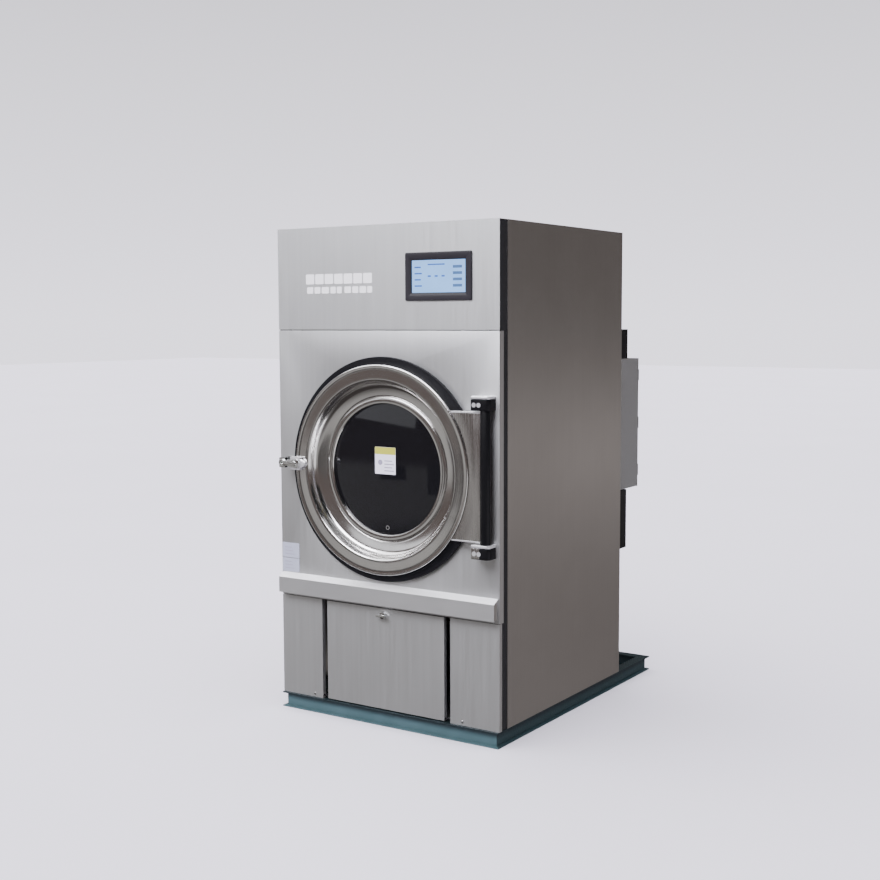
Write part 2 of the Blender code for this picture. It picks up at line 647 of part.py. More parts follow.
def drum():
    axis = pivot("drum_axis", (0, back(DRUM_REAR), DOOR_Z))
    centre = (0, back(0), DOOR_Z)
    inner = DRUM_R - SHEET
    shell = turned_mesh("drum_shell", [
        (inner, DRUM_REAR - GAP), (inner, DRUM_FRONT + SHEET), (0.2965, DRUM_FRONT + SHEET),
        (0.2965, DRUM_FRONT), (DRUM_R, DRUM_FRONT), (DRUM_R, DRUM_REAR - GAP),
    ], centre)
    smooth(add_object("drum_shell", shell, "brushed_steel", axis))
    disc = rod_mesh("drum_back", DRUM_R, (0, DOOR_Z), back(DRUM_REAR), back(DRUM_REAR + 0.003), steps=ROUND_STEPS)
    smooth(add_object("drum_back", disc, "brushed_steel", axis))
    for index in range(LIFTER_COUNT):
        turn = math.radians(90 + 360 * index / LIFTER_COUNT)
        lifter = lifter_mesh(f"drum_lifter_{index + 1}", turn, inner)
        add_object(f"drum_lifter_{index + 1}", lifter, "brushed_steel", axis)
    shaft = solid_turned_mesh("drum_shaft", [
        (0, DRUM_REAR + 0.0033), (0.090, DRUM_REAR + 0.0033), (0.090, DRUM_REAR + 0.012),
        (0.034, DRUM_REAR + 0.014), (SHAFT_R, DRUM_REAR + 0.022), (SHAFT_R, PULLEY_DEPTH + PULLEY_THICK),
        (0, PULLEY_DEPTH + PULLEY_THICK),
    ], centre)
    smooth(add_object("drum_shaft", shaft, "cast_iron", axis))
    pulley = turned_mesh("drum_pulley", large_pulley_profile(DRUM_PULLEY_R, SHAFT_R + GAP), centre, steps=ROUND_STEPS)
    smooth(add_object("drum_pulley", pulley, "cast_iron", axis))
    for name, start, end, plate_first in (
        ("front_flange_bearing", REAR_BULKHEAD + SHEET + GAP, REAR_BULKHEAD + 0.040, True),
        ("rear_flange_bearing", CABINET_DEPTH - 0.040, CABINET_DEPTH - SHEET - GAP, False),
    ):
        add_object(name, bearing_mesh(name, start, end, plate_first), "cast_iron")


def lifter_mesh(name, turn, inner):
    """Hollow ridge of folded sheet along the drum's inner wall."""
    half_width = 0.033
    foot = math.sqrt((inner * math.cos(math.pi / ROUND_STEPS)) ** 2 - half_width ** 2) - 0.0005
    crest, shoulder = foot - LIFTER_HEIGHT, foot - LIFTER_HEIGHT * 0.75
    outer = [(foot, half_width), (shoulder, 0.018), (crest, 0.009)]
    inner_side = [(crest + SHEET, 0.008), (shoulder + 0.0012, 0.016), (foot, half_width - 0.0022)]
    half = outer + [(r, -t) for r, t in reversed(outer)]
    section = half + [(r, -t) for r, t in reversed(inner_side)] + inner_side
    c, s = math.cos(turn), math.sin(turn)
    outline = [(r * c - t * s, DOOR_Z + r * s + t * c) for r, t in section]
    return prism_mesh(name, outline, "Y", back(DRUM_FRONT + 0.020), back(DRUM_REAR - 0.004))


def groove_profile(radius):
    """Rim with one V groove, as (radius, depth) from front to rear."""
    front, rear = PULLEY_DEPTH, PULLEY_DEPTH + PULLEY_THICK
    middle = (front + rear) / 2
    floor = radius - 0.011
    return [
        (radius, front), (radius, middle - 0.008), (floor, middle - 0.004),
        (floor, middle + 0.004), (radius, middle + 0.008), (radius, rear),
    ]


def large_pulley_profile(radius, bore):
    """Pulley with a hub and a thin web."""
    front, rear = PULLEY_DEPTH, PULLEY_DEPTH + PULLEY_THICK
    middle = (front + rear) / 2
    rim, hub = radius - 0.020, bore + 0.018
    return ([(bore, front), (hub, front), (hub, middle - 0.004), (rim, middle - 0.004), (rim, front)]
            + groove_profile(radius)
            + [(rim, rear), (rim, middle + 0.004), (hub, middle + 0.004), (hub, rear), (bore, rear)])


def small_pulley_profile():
    """Solid pulley on the motor's output shaft."""
    rear = PULLEY_DEPTH + PULLEY_THICK
    return ([(0, PULLEY_DEPTH)] + groove_profile(MOTOR_PULLEY_R)
            + [(MOTOR_SHAFT_R, rear), (MOTOR_SHAFT_R, MOTOR_SHAFT_END), (0, MOTOR_SHAFT_END)])


def bearing_mesh(name, start, end, plate_first):
    """Flanged bearing unit round the drum shaft."""
    bore = SHAFT_R + 0.0004
    plate = start + 0.012 if plate_first else end - 0.012
    if plate_first:
        profile = [(bore, start), (0.065, start), (0.065, plate), (0.042, plate), (0.038, end), (bore, end)]
    else:
        profile = [(bore, start), (0.038, start), (0.042, plate), (0.065, plate), (0.065, end), (bore, end)]
    return turned_mesh(name, profile, (0, back(0), DOOR_Z), steps=24)


# ---------------------------------------------------------------- belt drive
def tangent_loop(upper_r, lower_r, lower_steps=8, upper_steps=20):
    """Outline round a big circle on the drum axis and a small one on the motor axis below it."""
    distance = DOOR_Z - MOTOR_Z
    lean = math.degrees(math.asin((upper_r - lower_r) / distance))
    upper = arc((0, DOOR_Z), upper_r, -lean, 180 + lean, upper_steps)
    lower = arc((0, MOTOR_Z), lower_r, 180 + lean, 360 - lean, lower_steps)
    return upper + lower


def belt_drive():
    middle = PULLEY_DEPTH + PULLEY_THICK / 2
    floor = 0.0104
    inner = tangent_loop(DRUM_PULLEY_R - floor, MOTOR_PULLEY_R - floor, 12, 36)
    outer = tangent_loop(DRUM_PULLEY_R + 0.001, MOTOR_PULLEY_R + 0.001, 12, 36)
    belt = loop_mesh("drive_belt", inner, outer, back(middle - 0.0034), back(middle + 0.0034))
    add_object("drive_belt", belt, "black_rubber")

    axis = pivot("motor_pulley_axis", (0, back(middle), MOTOR_Z))
    pulley = solid_turned_mesh("motor_pulley", small_pulley_profile(), (0, back(0), MOTOR_Z), steps=24)
    smooth(add_object("motor_pulley", pulley, "cast_iron", axis))
    motor()
    guard()


def loop_mesh(name, inner, outer, start, end):
    """Closed band between two matching outlines, swept along Y."""
    shape = bmesh.new()
    rings = []
    for outline, y in ((inner, start), (outer, start), (outer, end), (inner, end)):
        rings.append([shape.verts.new((x, y, z)) for x, z in outline])
    count = len(inner)
    for here, there in zip(rings, rings[1:] + rings[:1]):
        for i in range(count):
            j = (i + 1) % count
            shape.faces.new((here[i], here[j], there[j], there[i]))
    return mesh_from(name, shape)


def motor():
    """Geared motor on its slide plate, with the output shaft that carries the small pulley."""
    foot_top = BASE_HEIGHT + GAP + 0.006
    gear = add_object("gear_motor", box_mesh("gear_motor", (-0.062, back(0.893), foot_top - 0.001),
                                             (0.062, back(0.975), MOTOR_Z + 0.062)), "motor_paint")
    join(gear, box_mesh("foot", (-0.085, back(0.832), BASE_HEIGHT + GAP), (0.085, back(1.085), foot_top)))
    cut(gear, rod_mesh("shaft_bore", MOTOR_SHAFT_R + 0.0005, (0, MOTOR_Z), back(0.85),
                       back(MOTOR_SHAFT_END + 0.002), steps=24))
    join(gear, rod_mesh("body", 0.056, (0, MOTOR_Z), back(0.970), back(1.060), steps=24))
    join(gear, rod_mesh("cowl", 0.060, (0, MOTOR_Z), back(1.055), back(1.086), steps=24))


def guard():
    """Teardrop cover over the belt, open towards the rear panel, with a hole for the motor shaft."""
    rear = 0.8835
    outside = tangent_loop(DRUM_PULLEY_R + 0.018, MOTOR_PULLEY_R + 0.020)
    inside = tangent_loop(DRUM_PULLEY_R + 0.0165, MOTOR_PULLEY_R + 0.0185)
    cover = add_object("belt_guard", prism_mesh("belt_guard", outside, "Y", back(CABINET_DEPTH + GAP),
                                                back(rear)), "black_paint")
    cut(cover, prism_mesh("hollow", inside, "Y", back(CABINET_DEPTH - 0.01), back(rear - 0.0015)))
    cut(cover, rod_mesh("shaft_slot", 0.022, (0, MOTOR_Z), back(rear - 0.01), back(rear + 0.01), steps=16))


# ---------------------------------------------------------------- fan and exhaust
def fan():
    """Scroll housing that the rear bulkhead closes, its wheel and motor, and the round exhaust outlet."""
    front, rear = REAR_BULKHEAD + SHEET + GAP, 0.790
    wall = 0.0015
    right, top = 0.330, 0.640

    def outline(shrink):
        scroll = []
        for step in range(SCROLL_STEPS + 1):
            turn = math.radians(75 + 285 * step / SCROLL_STEPS)
            radius = 0.122 + 0.048 * step / SCROLL_STEPS - shrink
            scroll.append((FAN_X + radius * math.cos(turn), FAN_Z + radius * math.sin(turn)))
        return scroll + [(right - shrink, top - shrink), (0.165 + shrink, top - shrink),
                         (0.165 + shrink, 0.395)]

    housing = add_object("fan_housing", prism_mesh("fan_housing", outline(0), "Y", back(front), back(rear)),
                         "galvanised")
    cut(housing, prism_mesh("hollow", outline(wall), "Y", back(front - 0.01), back(rear - wall)))
    cut(housing, rod_mesh("shaft_hole", 0.016, (FAN_X, FAN_Z), back(rear - 0.01), back(rear + 0.01),
                          steps=16))
    outlet = (EXHAUST_X, back(0), EXHAUST_Z)
    cut(housing, rod_mesh("outlet_hole", EXHAUST_R - wall, (EXHAUST_X, EXHAUST_Z), back(rear - 0.01),
                          back(rear + 0.01), steps=32))
    flange = 0.012
    join(housing, turned_mesh("outlet", [
        (EXHAUST_R - wall, rear - wall), (EXHAUST_R, rear - wall), (EXHAUST_R, 0.905),
        (EXHAUST_R + flange, 0.905), (EXHAUST_R + flange, 0.908), (EXHAUST_R - wall, 0.908),
    ], outlet, steps=32))

    axis = pivot("fan_axis", (FAN_X, back(0.70), FAN_Z))
    wheel = add_object("fan_wheel", solid_turned_mesh("fan_wheel", [
        (0, 0.735), (FAN_R, 0.762), (FAN_R, 0.765), (0.012, 0.765), (0.012, 0.835), (0, 0.835),
    ], (FAN_X, back(0), FAN_Z), steps=24), "galvanised", axis)
    join(wheel, turned_mesh("shroud", [
        (FAN_R * 0.75, 0.652), (FAN_R, 0.658), (FAN_R, 0.660), (FAN_R * 0.75, 0.654),
    ], (FAN_X, back(0), FAN_Z), steps=24))
    blades = 8
    for index in range(blades):
        turn = 2 * math.pi * index / blades
        c, s = math.cos(turn), math.sin(turn)
        strip = [(0.076, -0.001), (FAN_R - 0.001, -0.001), (FAN_R - 0.001, 0.001), (0.076, 0.001)]
        blade = [(FAN_X + r * c - t * s, FAN_Z + r * s + t * c) for r, t in strip]
        join(wheel, prism_mesh("blade", blade, "Y", back(0.6535), back(0.7635)))

    foot_top = BASE_HEIGHT + GAP + 0.006
    motor_body = add_object("fan_motor", rod_mesh("fan_motor", 0.062, (FAN_X, FAN_Z), back(0.840),
                                                  back(1.020), steps=24), "motor_paint")
    cut(motor_body, rod_mesh("shaft_bore", 0.0125, (FAN_X, FAN_Z), back(0.83), back(0.838 + 0.01), steps=24))
    join(motor_body, box_mesh("pedestal", (FAN_X - 0.045, back(0.870), foot_top - 0.001),
                              (FAN_X + 0.045, back(0.990), FAN_Z - 0.020)))
    join(motor_body, box_mesh("foot", (FAN_X - 0.065, back(0.832), BASE_HEIGHT + GAP),
                              (FAN_X + 0.065, back(1.085), foot_top)))


# ---------------------------------------------------------------- heater and lint chute
def heater():
    """Box over the drum, open below and towards the rear inlet slots, with a bent heating tube."""
    half, front, rear = 0.220, 0.100, 0.620
    low, high = BULKHEAD_TOP + 0.004, 1.500
    wall = 0.0015
    case = add_object("heater_box", box_mesh("heater_box", (-half, back(front), low),
                                             (half, back(rear), high)), "galvanised")
    cut(case, box_mesh("hollow", (-half + wall, back(front + wall), low - 0.01),
                       (half - wall, back(rear + 0.01), high - wall)))
    passes, pitch = 7, 0.056
    tube = bpy.data.curves.new("heating_element", "CURVE")
    tube.dimensions = "3D"
    tube.bevel_depth = 0.006
    tube.bevel_resolution = 1
    tube.use_fill_caps = True
    points = []
    height = 1.400
    for index in range(passes):
        x = (index - (passes - 1) / 2) * pitch
        near, far = back(front + 0.06), back(rear - 0.06)
        ends = (near, far) if index % 2 == 0 else (far, near)
        points.append((x, ends[0], height))
        points.append((x, ends[1], height))
        if index < passes - 1:
            swing = 1 if ends[1] > ends[0] else -1
            for step in range(1, 6):
                turn = math.pi * step / 6
                points.append((x + pitch / 2 * (1 - math.cos(turn)),
                               ends[1] + swing * pitch / 2 * math.sin(turn), height))
    spline = tube.splines.new("POLY")
    spline.points.add(len(points) - 1)
    for spot, place in zip(spline.points, points):
        spot.co = (*place, 1.0)
    add_object("heating_element", tube, "cast_iron")


def lint_parts():
    """Open-topped chute under the drum that leads the air to the fan, and the lint screen in it."""
    half, front, rear = 0.2430, 0.020, REAR_BULKHEAD - GAP
    low, high = 0.0575, 0.4250
    wall = 0.0015
    chute = prism_mesh("lint_chute", [
        (-half, low), (half, low), (half, high), (half - wall, high), (half - wall, low + wall),
        (-half + wall, low + wall), (-half + wall, high), (-half, high),
    ], "Y", back(front), back(rear))
    add_object("lint_chute", chute, "galvanised")
    inner = half - wall - GAP
    level = 0.350
    screen = add_object("lint_screen", box_mesh("lint_screen", (-inner, back(0.045), level),
                                                (inner, back(rear - 0.002), level + 0.012)), "screen_mesh")
    cut(screen, box_mesh("hollow", (-inner + 0.014, back(0.060), level + 0.003),
                         (inner - 0.014, back(rear - 0.018), level + 0.05)))


# ---------------------------------------------------------------- electrical parts on the back
def electrics():
    wall = 0.0015
    face = CABINET_DEPTH + GAP
    case = add_object("electrical_box", box_mesh("electrical_box", (BOX_LEFT, back(face), BOX_BOTTOM),
                                                 (BOX_RIGHT, back(BOX_REAR), BOX_TOP)), "grey_paint")
    cut(case, box_mesh("hollow", (BOX_LEFT + wall, back(face + wall), BOX_BOTTOM + wall),
                       (BOX_RIGHT - wall, back(BOX_REAR + 0.01), BOX_TOP - wall)))
    cover = box_mesh("electrical_box_cover", (BOX_LEFT - 0.001, back(BOX_REAR + GAP), BOX_BOTTOM - 0.001),
                     (BOX_RIGHT + 0.001, back(BOX_REAR + 0.0025), BOX_TOP + 0.001))
    add_object("electrical_box_cover", cover, "grey_paint")
    section = [
        (BOX_RIGHT, back(face)), (BOX_RIGHT, back(DUCT_REAR)), (DUCT_LEFT, back(DUCT_REAR)),
        (DUCT_LEFT, back(face)), (DUCT_LEFT + wall, back(face)), (DUCT_LEFT + wall, back(DUCT_REAR - wall)),
        (BOX_RIGHT - wall, back(DUCT_REAR - wall)), (BOX_RIGHT - wall, back(face)),
    ]
    add_object("upper_cable_duct", prism_mesh("upper_cable_duct", section, "Z", BOX_TOP + 0.0025, DUCT_TOP),
               "black_paint")
    add_object("lower_cable_duct", prism_mesh("lower_cable_duct", section, "Z", DUCT_BOTTOM,
                                              BOX_BOTTOM - 0.0025), "black_paint")


# ---------------------------------------------------------------- the whole machine
def build():
    clear_scene()
    base_frame()
    front_panels()
    ledge()
    shell_panels()
    corner_posts()
    touchscreen()
    lint_door()
    door()
    bulkheads()
    drum()
    belt_drive()
    fan()
    heater()
    lint_parts()
    electrics()


build()
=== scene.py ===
"""Looks of the tumble dryer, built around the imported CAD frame."""

import math

import bmesh
import bpy
from mathutils import Matrix, Vector


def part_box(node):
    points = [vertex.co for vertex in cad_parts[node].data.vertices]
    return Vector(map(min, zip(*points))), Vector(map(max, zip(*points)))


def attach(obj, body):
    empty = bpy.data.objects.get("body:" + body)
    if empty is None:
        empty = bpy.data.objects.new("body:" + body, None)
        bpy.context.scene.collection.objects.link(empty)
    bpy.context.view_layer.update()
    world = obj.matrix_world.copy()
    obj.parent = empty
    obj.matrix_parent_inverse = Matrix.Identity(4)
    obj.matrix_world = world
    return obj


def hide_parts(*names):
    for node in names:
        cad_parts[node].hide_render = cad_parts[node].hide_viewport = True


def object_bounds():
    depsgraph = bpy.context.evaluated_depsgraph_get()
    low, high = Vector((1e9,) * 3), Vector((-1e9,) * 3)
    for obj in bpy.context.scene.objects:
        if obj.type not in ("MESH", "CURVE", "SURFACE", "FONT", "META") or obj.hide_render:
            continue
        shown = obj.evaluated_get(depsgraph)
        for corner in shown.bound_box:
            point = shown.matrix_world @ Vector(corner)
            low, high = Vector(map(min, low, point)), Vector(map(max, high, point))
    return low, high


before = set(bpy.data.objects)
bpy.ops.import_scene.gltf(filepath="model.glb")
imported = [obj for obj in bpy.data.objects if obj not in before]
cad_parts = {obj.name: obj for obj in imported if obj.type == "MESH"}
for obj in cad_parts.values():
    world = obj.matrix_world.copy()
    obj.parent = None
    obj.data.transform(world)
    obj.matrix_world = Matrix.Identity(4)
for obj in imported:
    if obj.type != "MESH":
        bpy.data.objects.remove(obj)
CAD_LOW, CAD_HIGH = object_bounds()

# ---- places read from the frame
FRONT_LOW, FRONT_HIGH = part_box("front_panel")
FRONT_Y = FRONT_LOW.y
RING_LOW, RING_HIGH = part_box("door_ring")
DOOR_Z = (RING_LOW.z + RING_HIGH.z) / 2
DOOR_AXIS = (0, DOOR_Z)
HALF = FRONT_HIGH.x
TOP = CAD_HIGH.z

# ---- sizes and places in metres, and steps of circles, that sections share
ROUND = 192          # steps of the door's and the drum's circles
DISC_ROUND = 160     # steps of the large round openings and discs in flat sheets
HUB = 0.0001         # radius of the tiny flat that closes a turned part on its axis
SHEET = 0.002        # thickness of the front sheets
PIN_BORE = 0.0084    # radius of the holes for the hinge pin
# x and z of the motors' axes and of the exhaust's
GEAR_MOTOR_AT = (0, 0.26)
FAN_MOTOR_AT = (0.16, 0.24)
EXHAUST_AT = (0.25, 0.55)
LINT_LEFT, LINT_RIGHT = -0.236, 0.224    # x of the lint door's two edges
LOCK_X = -0.009      # x of its lock
LUG_CAP = 0.01       # thickness of the bright plate on a hinge lug
ARM_REACH = 0.022    # how far the latch housing's arm runs towards the glass
LEAF_FOLD = 0.0052   # width of the hinge plate's bright folded edges

# ---- camera
LENS = 53.67         # focal length in mm, on a sensor 36 mm wide
CAMERA_AT = (2.4206, -3.8623, 1.3044)
CAMERA_AZIMUTH, CAMERA_DROP, CAMERA_ROLL = 33.415, 5.258, -0.224    # degrees

# ---- light
FLOOR_TONE = (0.9, 0.872, 0.985)
SKY_LOW = (1.0, 0.97, 1.1)
SKY_HIGH = (0.62, 0.605, 0.66)
SKY_BLEND = 0.26     # height at which the sky has reached its upper tone
SKY_STRENGTH = 1.9
DIM_WALL = 0.45      # strength of the wall on the machine's right
OVERHEAD_POWER = 4.6
OVERHEAD_SPREAD = 110
OVERHEAD_AIM = (-30, 62)
ROOM_RADIUS = 9.0
ROOM_FAR_FRONT = (0.42, 0.411, 0.402)
ROOM_FAR_LEFT = (0.09, 0.08, 0.075)
ROOM_FAR_RIGHT = (0.215, 0.192, 0.184)
ROOM_NEAR_LEFT = (0.05, 0.044, 0.043)
ROOM_NEAR_RIGHT = (0.2, 0.19, 0.19)
ROOM_WALL_LEFT = (0.12, 0.097, 0.09)
ROOM_WALL_RIGHT = (0.12, 0.107, 0.1)
ROOM_CEILING = (0.9, 0.9, 0.93)
CARD_DISTANCE = 6.0  # from the machine's middle at the door's height
# name, azimuth, elevation, width and height in degrees, colour, strength
CARDS = (
    ("lamp_left", -72, 44, 70, 24, (1.0, 1.0, 1.02), 4.2),
    ("lamp_front", -8, 44, 44, 26, (0.97, 0.98, 1.05), 15.5),
    ("streak", 80, -31, 44, 56, (1.0, 0.99, 1.02), 1.3),
    ("dark_patch", 58, 33, 62, 38, (1.0, 1.0, 1.0), 0.01),
    ("low_window", -40, 14, 40, 9, (0.98, 0.99, 1.03), 1.15),
    ("dim_floor_right", 6, -9, 40, 12, (1.0, 0.95, 0.93), 0.1),
    ("dim_floor_left", -84, -9, 36, 13, (1.0, 0.95, 0.93), 0.1),
    ("side_glow", 147, -5, 70, 8, (1.0, 0.92, 0.89), 0.45),
    ("dark_low", -30, -7, 12, 5, (1.0, 0.9, 0.9), 0.03),
)


def back(distance):
    """World y of a depth behind the front panels' outer plane."""
    return FRONT_Y + distance


# ---- shader tools
def dress(target, inputs):
    """Gives a node's inputs their links, colours and plain values."""
    for name, value in inputs.items():
        socket = target.inputs[name]
        if isinstance(value, bpy.types.NodeSocket):
            target.id_data.links.new(value, socket)
        elif socket.type == "RGBA":
            socket.default_value = (*value, 1.0)
        else:
            socket.default_value = value


def node(tree, kind, inputs, **settings):
    """Adds a shader node and returns its outputs."""
    made = tree.nodes.new("ShaderNode" + kind)
    for name, value in settings.items():
        setattr(made, name, value)
    dress(made, inputs)
    return made.outputs


def new_material(name, colour, roughness, metallic=0.0):
    made = bpy.data.materials.new(name)
    made.use_nodes = True
    shader = made.node_tree.nodes["Principled BSDF"]
    dress(shader, {"Base Color": colour, "Roughness": roughness, "Metallic": metallic})
    return made, made.node_tree, shader


def object_point(tree, scale):
    """Object coordinates in metres, stretched by one scale or by a scale for each axis."""
    if not isinstance(scale, tuple):
        scale = (scale, scale, scale)
    return node(tree, "Mapping", {"Vector": node(tree, "TexCoord", {})["Object"], "Scale": scale})["Vector"]


def ring_point(tree, scale):
    """Distance from the door's axis, so that a grain follows its circles."""
    centred = node(tree, "VectorMath", {0: node(tree, "TexCoord", {})["Object"], 1: (0, 0, DOOR_Z)},
                   operation="SUBTRACT")["Vector"]
    flat = node(tree, "VectorMath", {0: centred, 1: (1, 0, 1)}, operation="MULTIPLY")["Vector"]
    length = node(tree, "VectorMath", {0: flat}, operation="LENGTH")["Value"]
    scaled = node(tree, "Math", {0: length, 1: scale}, operation="MULTIPLY")["Value"]
    return node(tree, "CombineXYZ", {"X": scaled})["Vector"]


def noise(tree, vector, detail):
    return node(tree, "TexNoise", {"Vector": vector, "Scale": 1.0, "Detail": detail})["Fac"]


def spread(tree, value, low=0.0, high=1.0):
    """A noise value brought into the range from low to high."""
    return node(tree, "MapRange", {"Value": value, "From Min": 0.3, "From Max": 0.7,
                                   "To Min": low, "To Max": high})["Result"]


def ranged(tree, value, low, high):
    """0 at low and 1 at high, smoothly."""
    return node(tree, "MapRange", {"Value": value, "From Min": low, "From Max": high},
                interpolation_type="SMOOTHSTEP")["Result"]


def mixed(tree, factor, first, second):
    """Colour that runs from the first to the second as a factor goes from 0 to 1."""
    return node(tree, "Mix", {"Factor": factor, "A": first, "B": second}, data_type="RGBA")["Result"]


def toned(colour, factor):
    return tuple(min(1.0, part * factor) for part in colour)


def clouded(tree, value, colour, darker, lighter):
    """Colour whose tone follows a noise value between two factors."""
    return mixed(tree, spread(tree, value), toned(colour, darker), toned(colour, lighter))


def bump(tree, shader, value, strength, distance):
    relief = node(tree, "Bump", {"Strength": strength, "Distance": distance, "Height": value})
    dress(shader, {"Normal": relief["Normal"]})


def surface(name, colour, roughness, metallic, grain, variation, rough_spread, relief, relief_depth=0.0003):
    """Even surface with a fine grain, a slow change of tone and a varying gloss."""
    made, tree, shader = new_material(name, colour, roughness, metallic)
    fine = noise(tree, object_point(tree, grain), 4.0)
    slow = noise(tree, object_point(tree, 2.5), 2.0)
    dress(shader, {"Base Color": clouded(tree, slow, colour, 1 - variation, 1 + variation),
                   "Roughness": spread(tree, fine, roughness - rough_spread, roughness + rough_spread)})
    bump(tree, shader, fine, relief, relief_depth)
    return made, tree, shader


def brushed(name, colour, roughness, grain, variation=0.05, band_depth=0.045):
    """Brushed stainless sheet: fine scratches in one direction, soft bands along it, a faint mottle."""
    made, tree, shader = surface(name, colour, roughness, 1.0, grain, variation, 0.06, 0.035, 0.0002)
    mottle = noise(tree, object_point(tree, 3.2), 3.0)
    bands = noise(tree, object_point(tree, tuple(value * BAND_SHARE for value in grain)), 4.0)
    banded = clouded(tree, bands, colour, 1 - band_depth, 1 + band_depth)
    mottled = clouded(tree, mottle, colour, 1 - variation, 1 + variation)
    dress(shader, {"Base Color": mixed(tree, 0.5, banded, mottled)})
    return made


def satin(name, colour, roughness, grain, metallic, painted_top_light=0.0):
    """Satin sheet or casting; the last argument paints light on upward faces, making them paler and more matt
    where the top light falls.
    """
    made, tree, shader = surface(name, colour, roughness, metallic, grain, 0.05, 0.06, 0.07, 0.0002)
    if painted_top_light:
        # painted light: upward faces turn pale and less metallic, as if lit from above
        normal = node(tree, "NewGeometry", {})["Normal"]
        upward = ranged(tree, node(tree, "SeparateXYZ", {"Vector": normal})["Z"], 0.25, 0.75)
        plain = clouded(tree, noise(tree, object_point(tree, 4), 2.0), colour, 0.95, 1.05)
        matt = node(tree, "MapRange", {"Value": upward, "To Min": metallic,
                                       "To Max": metallic * (1 - painted_top_light)})["Result"]
        dress(shader, {"Base Color": mixed(tree, upward, plain, PAINTED_TOP_LIGHT_TONE), "Metallic": matt})
    return made


def matt_black(name, colour, roughness, grain, relief):
    """Black finish with a weak sheen."""
    made, _, shader = surface(name, colour, roughness, 0.0, grain, 0.15, 0.06, relief)
    dress(shader, {"Specular IOR Level": 0.14})
    return made


def rail_paint(name, painted_shade_factor):
    """Teal paint with a painted shade under the sheets: dark at the rail's top and its own clouded tone lower
    down on the foot; the factor darkens the whole paint, as painted shade for rails that get less light.
    """
    made, tree, shader = surface(name, RAIL_PLAIN, 0.45, 0.0, 160, 0.22, 0.1, 0.25)
    position = node(tree, "NewGeometry", {})["Position"]
    level = node(tree, "SeparateXYZ", {"Vector": position})["Z"]
    slow = noise(tree, object_point(tree, 14), 3.0)
    # the factor scales the whole paint; below 1 it is a painted shade for rails that get less light
    worn = mixed(tree, spread(tree, slow), toned(RAIL_DARK, painted_shade_factor), toned(RAIL_PALE, painted_shade_factor))
    # painted shade: the colour turns near-black towards the rail's top, where the sheets shade it
    dress(shader, {"Base Color": mixed(tree, ranged(tree, level, 0.044, 0.02), RAIL_PAINTED_SHADE, worn),
                   "Specular IOR Level": 0.25})
    return made


def spun(name, colour, roughness):
    """Mirror-polished sheet with the faint circles and ripples that spinning leaves."""
    made, tree, shader = new_material(name, colour, roughness, 1.0)
    circles = noise(tree, ring_point(tree, 260), 3.0)
    ripple = noise(tree, object_point(tree, 9), 2.0)
    dress(shader, {"Base Color": clouded(tree, ripple, colour, 0.94, 1.03),
                   "Roughness": spread(tree, circles, roughness - 0.03, roughness + 0.05)})
    total = node(tree, "Math", {0: ripple, 1: 12.0, 2: circles}, operation="MULTIPLY_ADD")["Value"]
    bump(tree, shader, total, 0.1, 0.0004)
    return made


def dark_glass(name):
    made, tree, shader = new_material(name, (0.008, 0.008, 0.01), 0.04)
    smear = noise(tree, object_point(tree, 6), 3.0)
    dress(shader, {"Roughness": spread(tree, smear, 0.03, 0.09), "IOR": 1.5, "Transmission Weight": 0.35})
    return made


def lit(name, colour, glow):
    """Back-lit display area with a glossy face and a faintly uneven tone."""
    made, tree, shader = new_material(name, toned(colour, 0.45), 0.2)
    cloud = noise(tree, object_point(tree, 12), 2.0)
    dress(shader, {"Base Color": clouded(tree, cloud, colour, 0.4, 0.48),
                   "Emission Color": colour, "Emission Strength": glow})
    return made


# ---- materials
BAND_SHARE = 0.11    # how much coarser than its grain a brushed sheet's bands are
VERTICAL = (700, 700, 7)
SIDEWAYS = (7, 700, 700)
# pale colour painted on upward faces as painted light from above
PAINTED_TOP_LIGHT_TONE = (0.93, 0.93, 0.95)
RAIL_PLAIN = (0.04, 0.085, 0.095)
RAIL_DARK = (0.05, 0.1, 0.112)
RAIL_PALE = (0.062, 0.118, 0.135)
# near-black painted shade that the rail's top takes under the sheets
RAIL_PAINTED_SHADE = (0.012, 0.022, 0.026)
MAT = {
    "front": brushed("front_steel", (0.74, 0.74, 0.755), 0.5, VERTICAL),
    "side": brushed("side_steel", (0.6, 0.582, 0.572), 0.36, VERTICAL, 0.07, 0.018),
    "drum": brushed("drum_steel", (0.6, 0.6, 0.6), 0.28, (9, 700, 9)),
    "leaf": brushed("hinge_leaf_steel", (0.56, 0.54, 0.53), 0.24, (500, 500, 12), 0.12),
    # the ledge's upward faces carry painted light from above
    "ledge": satin("ledge_steel", (0.69, 0.69, 0.7), 0.46, SIDEWAYS, 0.93, 0.75),
    "cast": satin("satin_casting", (0.72, 0.72, 0.73), 0.36, 120, 0.7),
    "polished": spun("polished_steel", (0.78, 0.765, 0.755), 0.145),
    "post": matt_black("post_paint", (0.016, 0.016, 0.017), 0.4, 260, 0.06),
    "black": matt_black("black_paint", (0.005, 0.005, 0.006), 0.34, 260, 0.06),
    "rubber": matt_black("black_rubber", (0.006, 0.006, 0.008), 0.55, 420, 0.08),
    "bezel": matt_black("bezel_plastic", (0.022, 0.02, 0.024), 0.4, 900, 0.04),
    "glass": dark_glass("dark_glass"),
    "teal": rail_paint("teal_paint", 1.0),
    # painted shade: a darker copy of the teal paint, for the rails whose faces get less light
    "teal_painted_shade": rail_paint("teal_paint_painted_shade", 0.42),
    "lit": lit("display_lit", (0.27, 0.54, 1.0), 0.88),
    "lit_mark": lit("display_mark", (0.07, 0.22, 0.75), 0.25),
    "lit_key": lit("display_key", (0.12, 0.26, 0.55), 0.25),
}
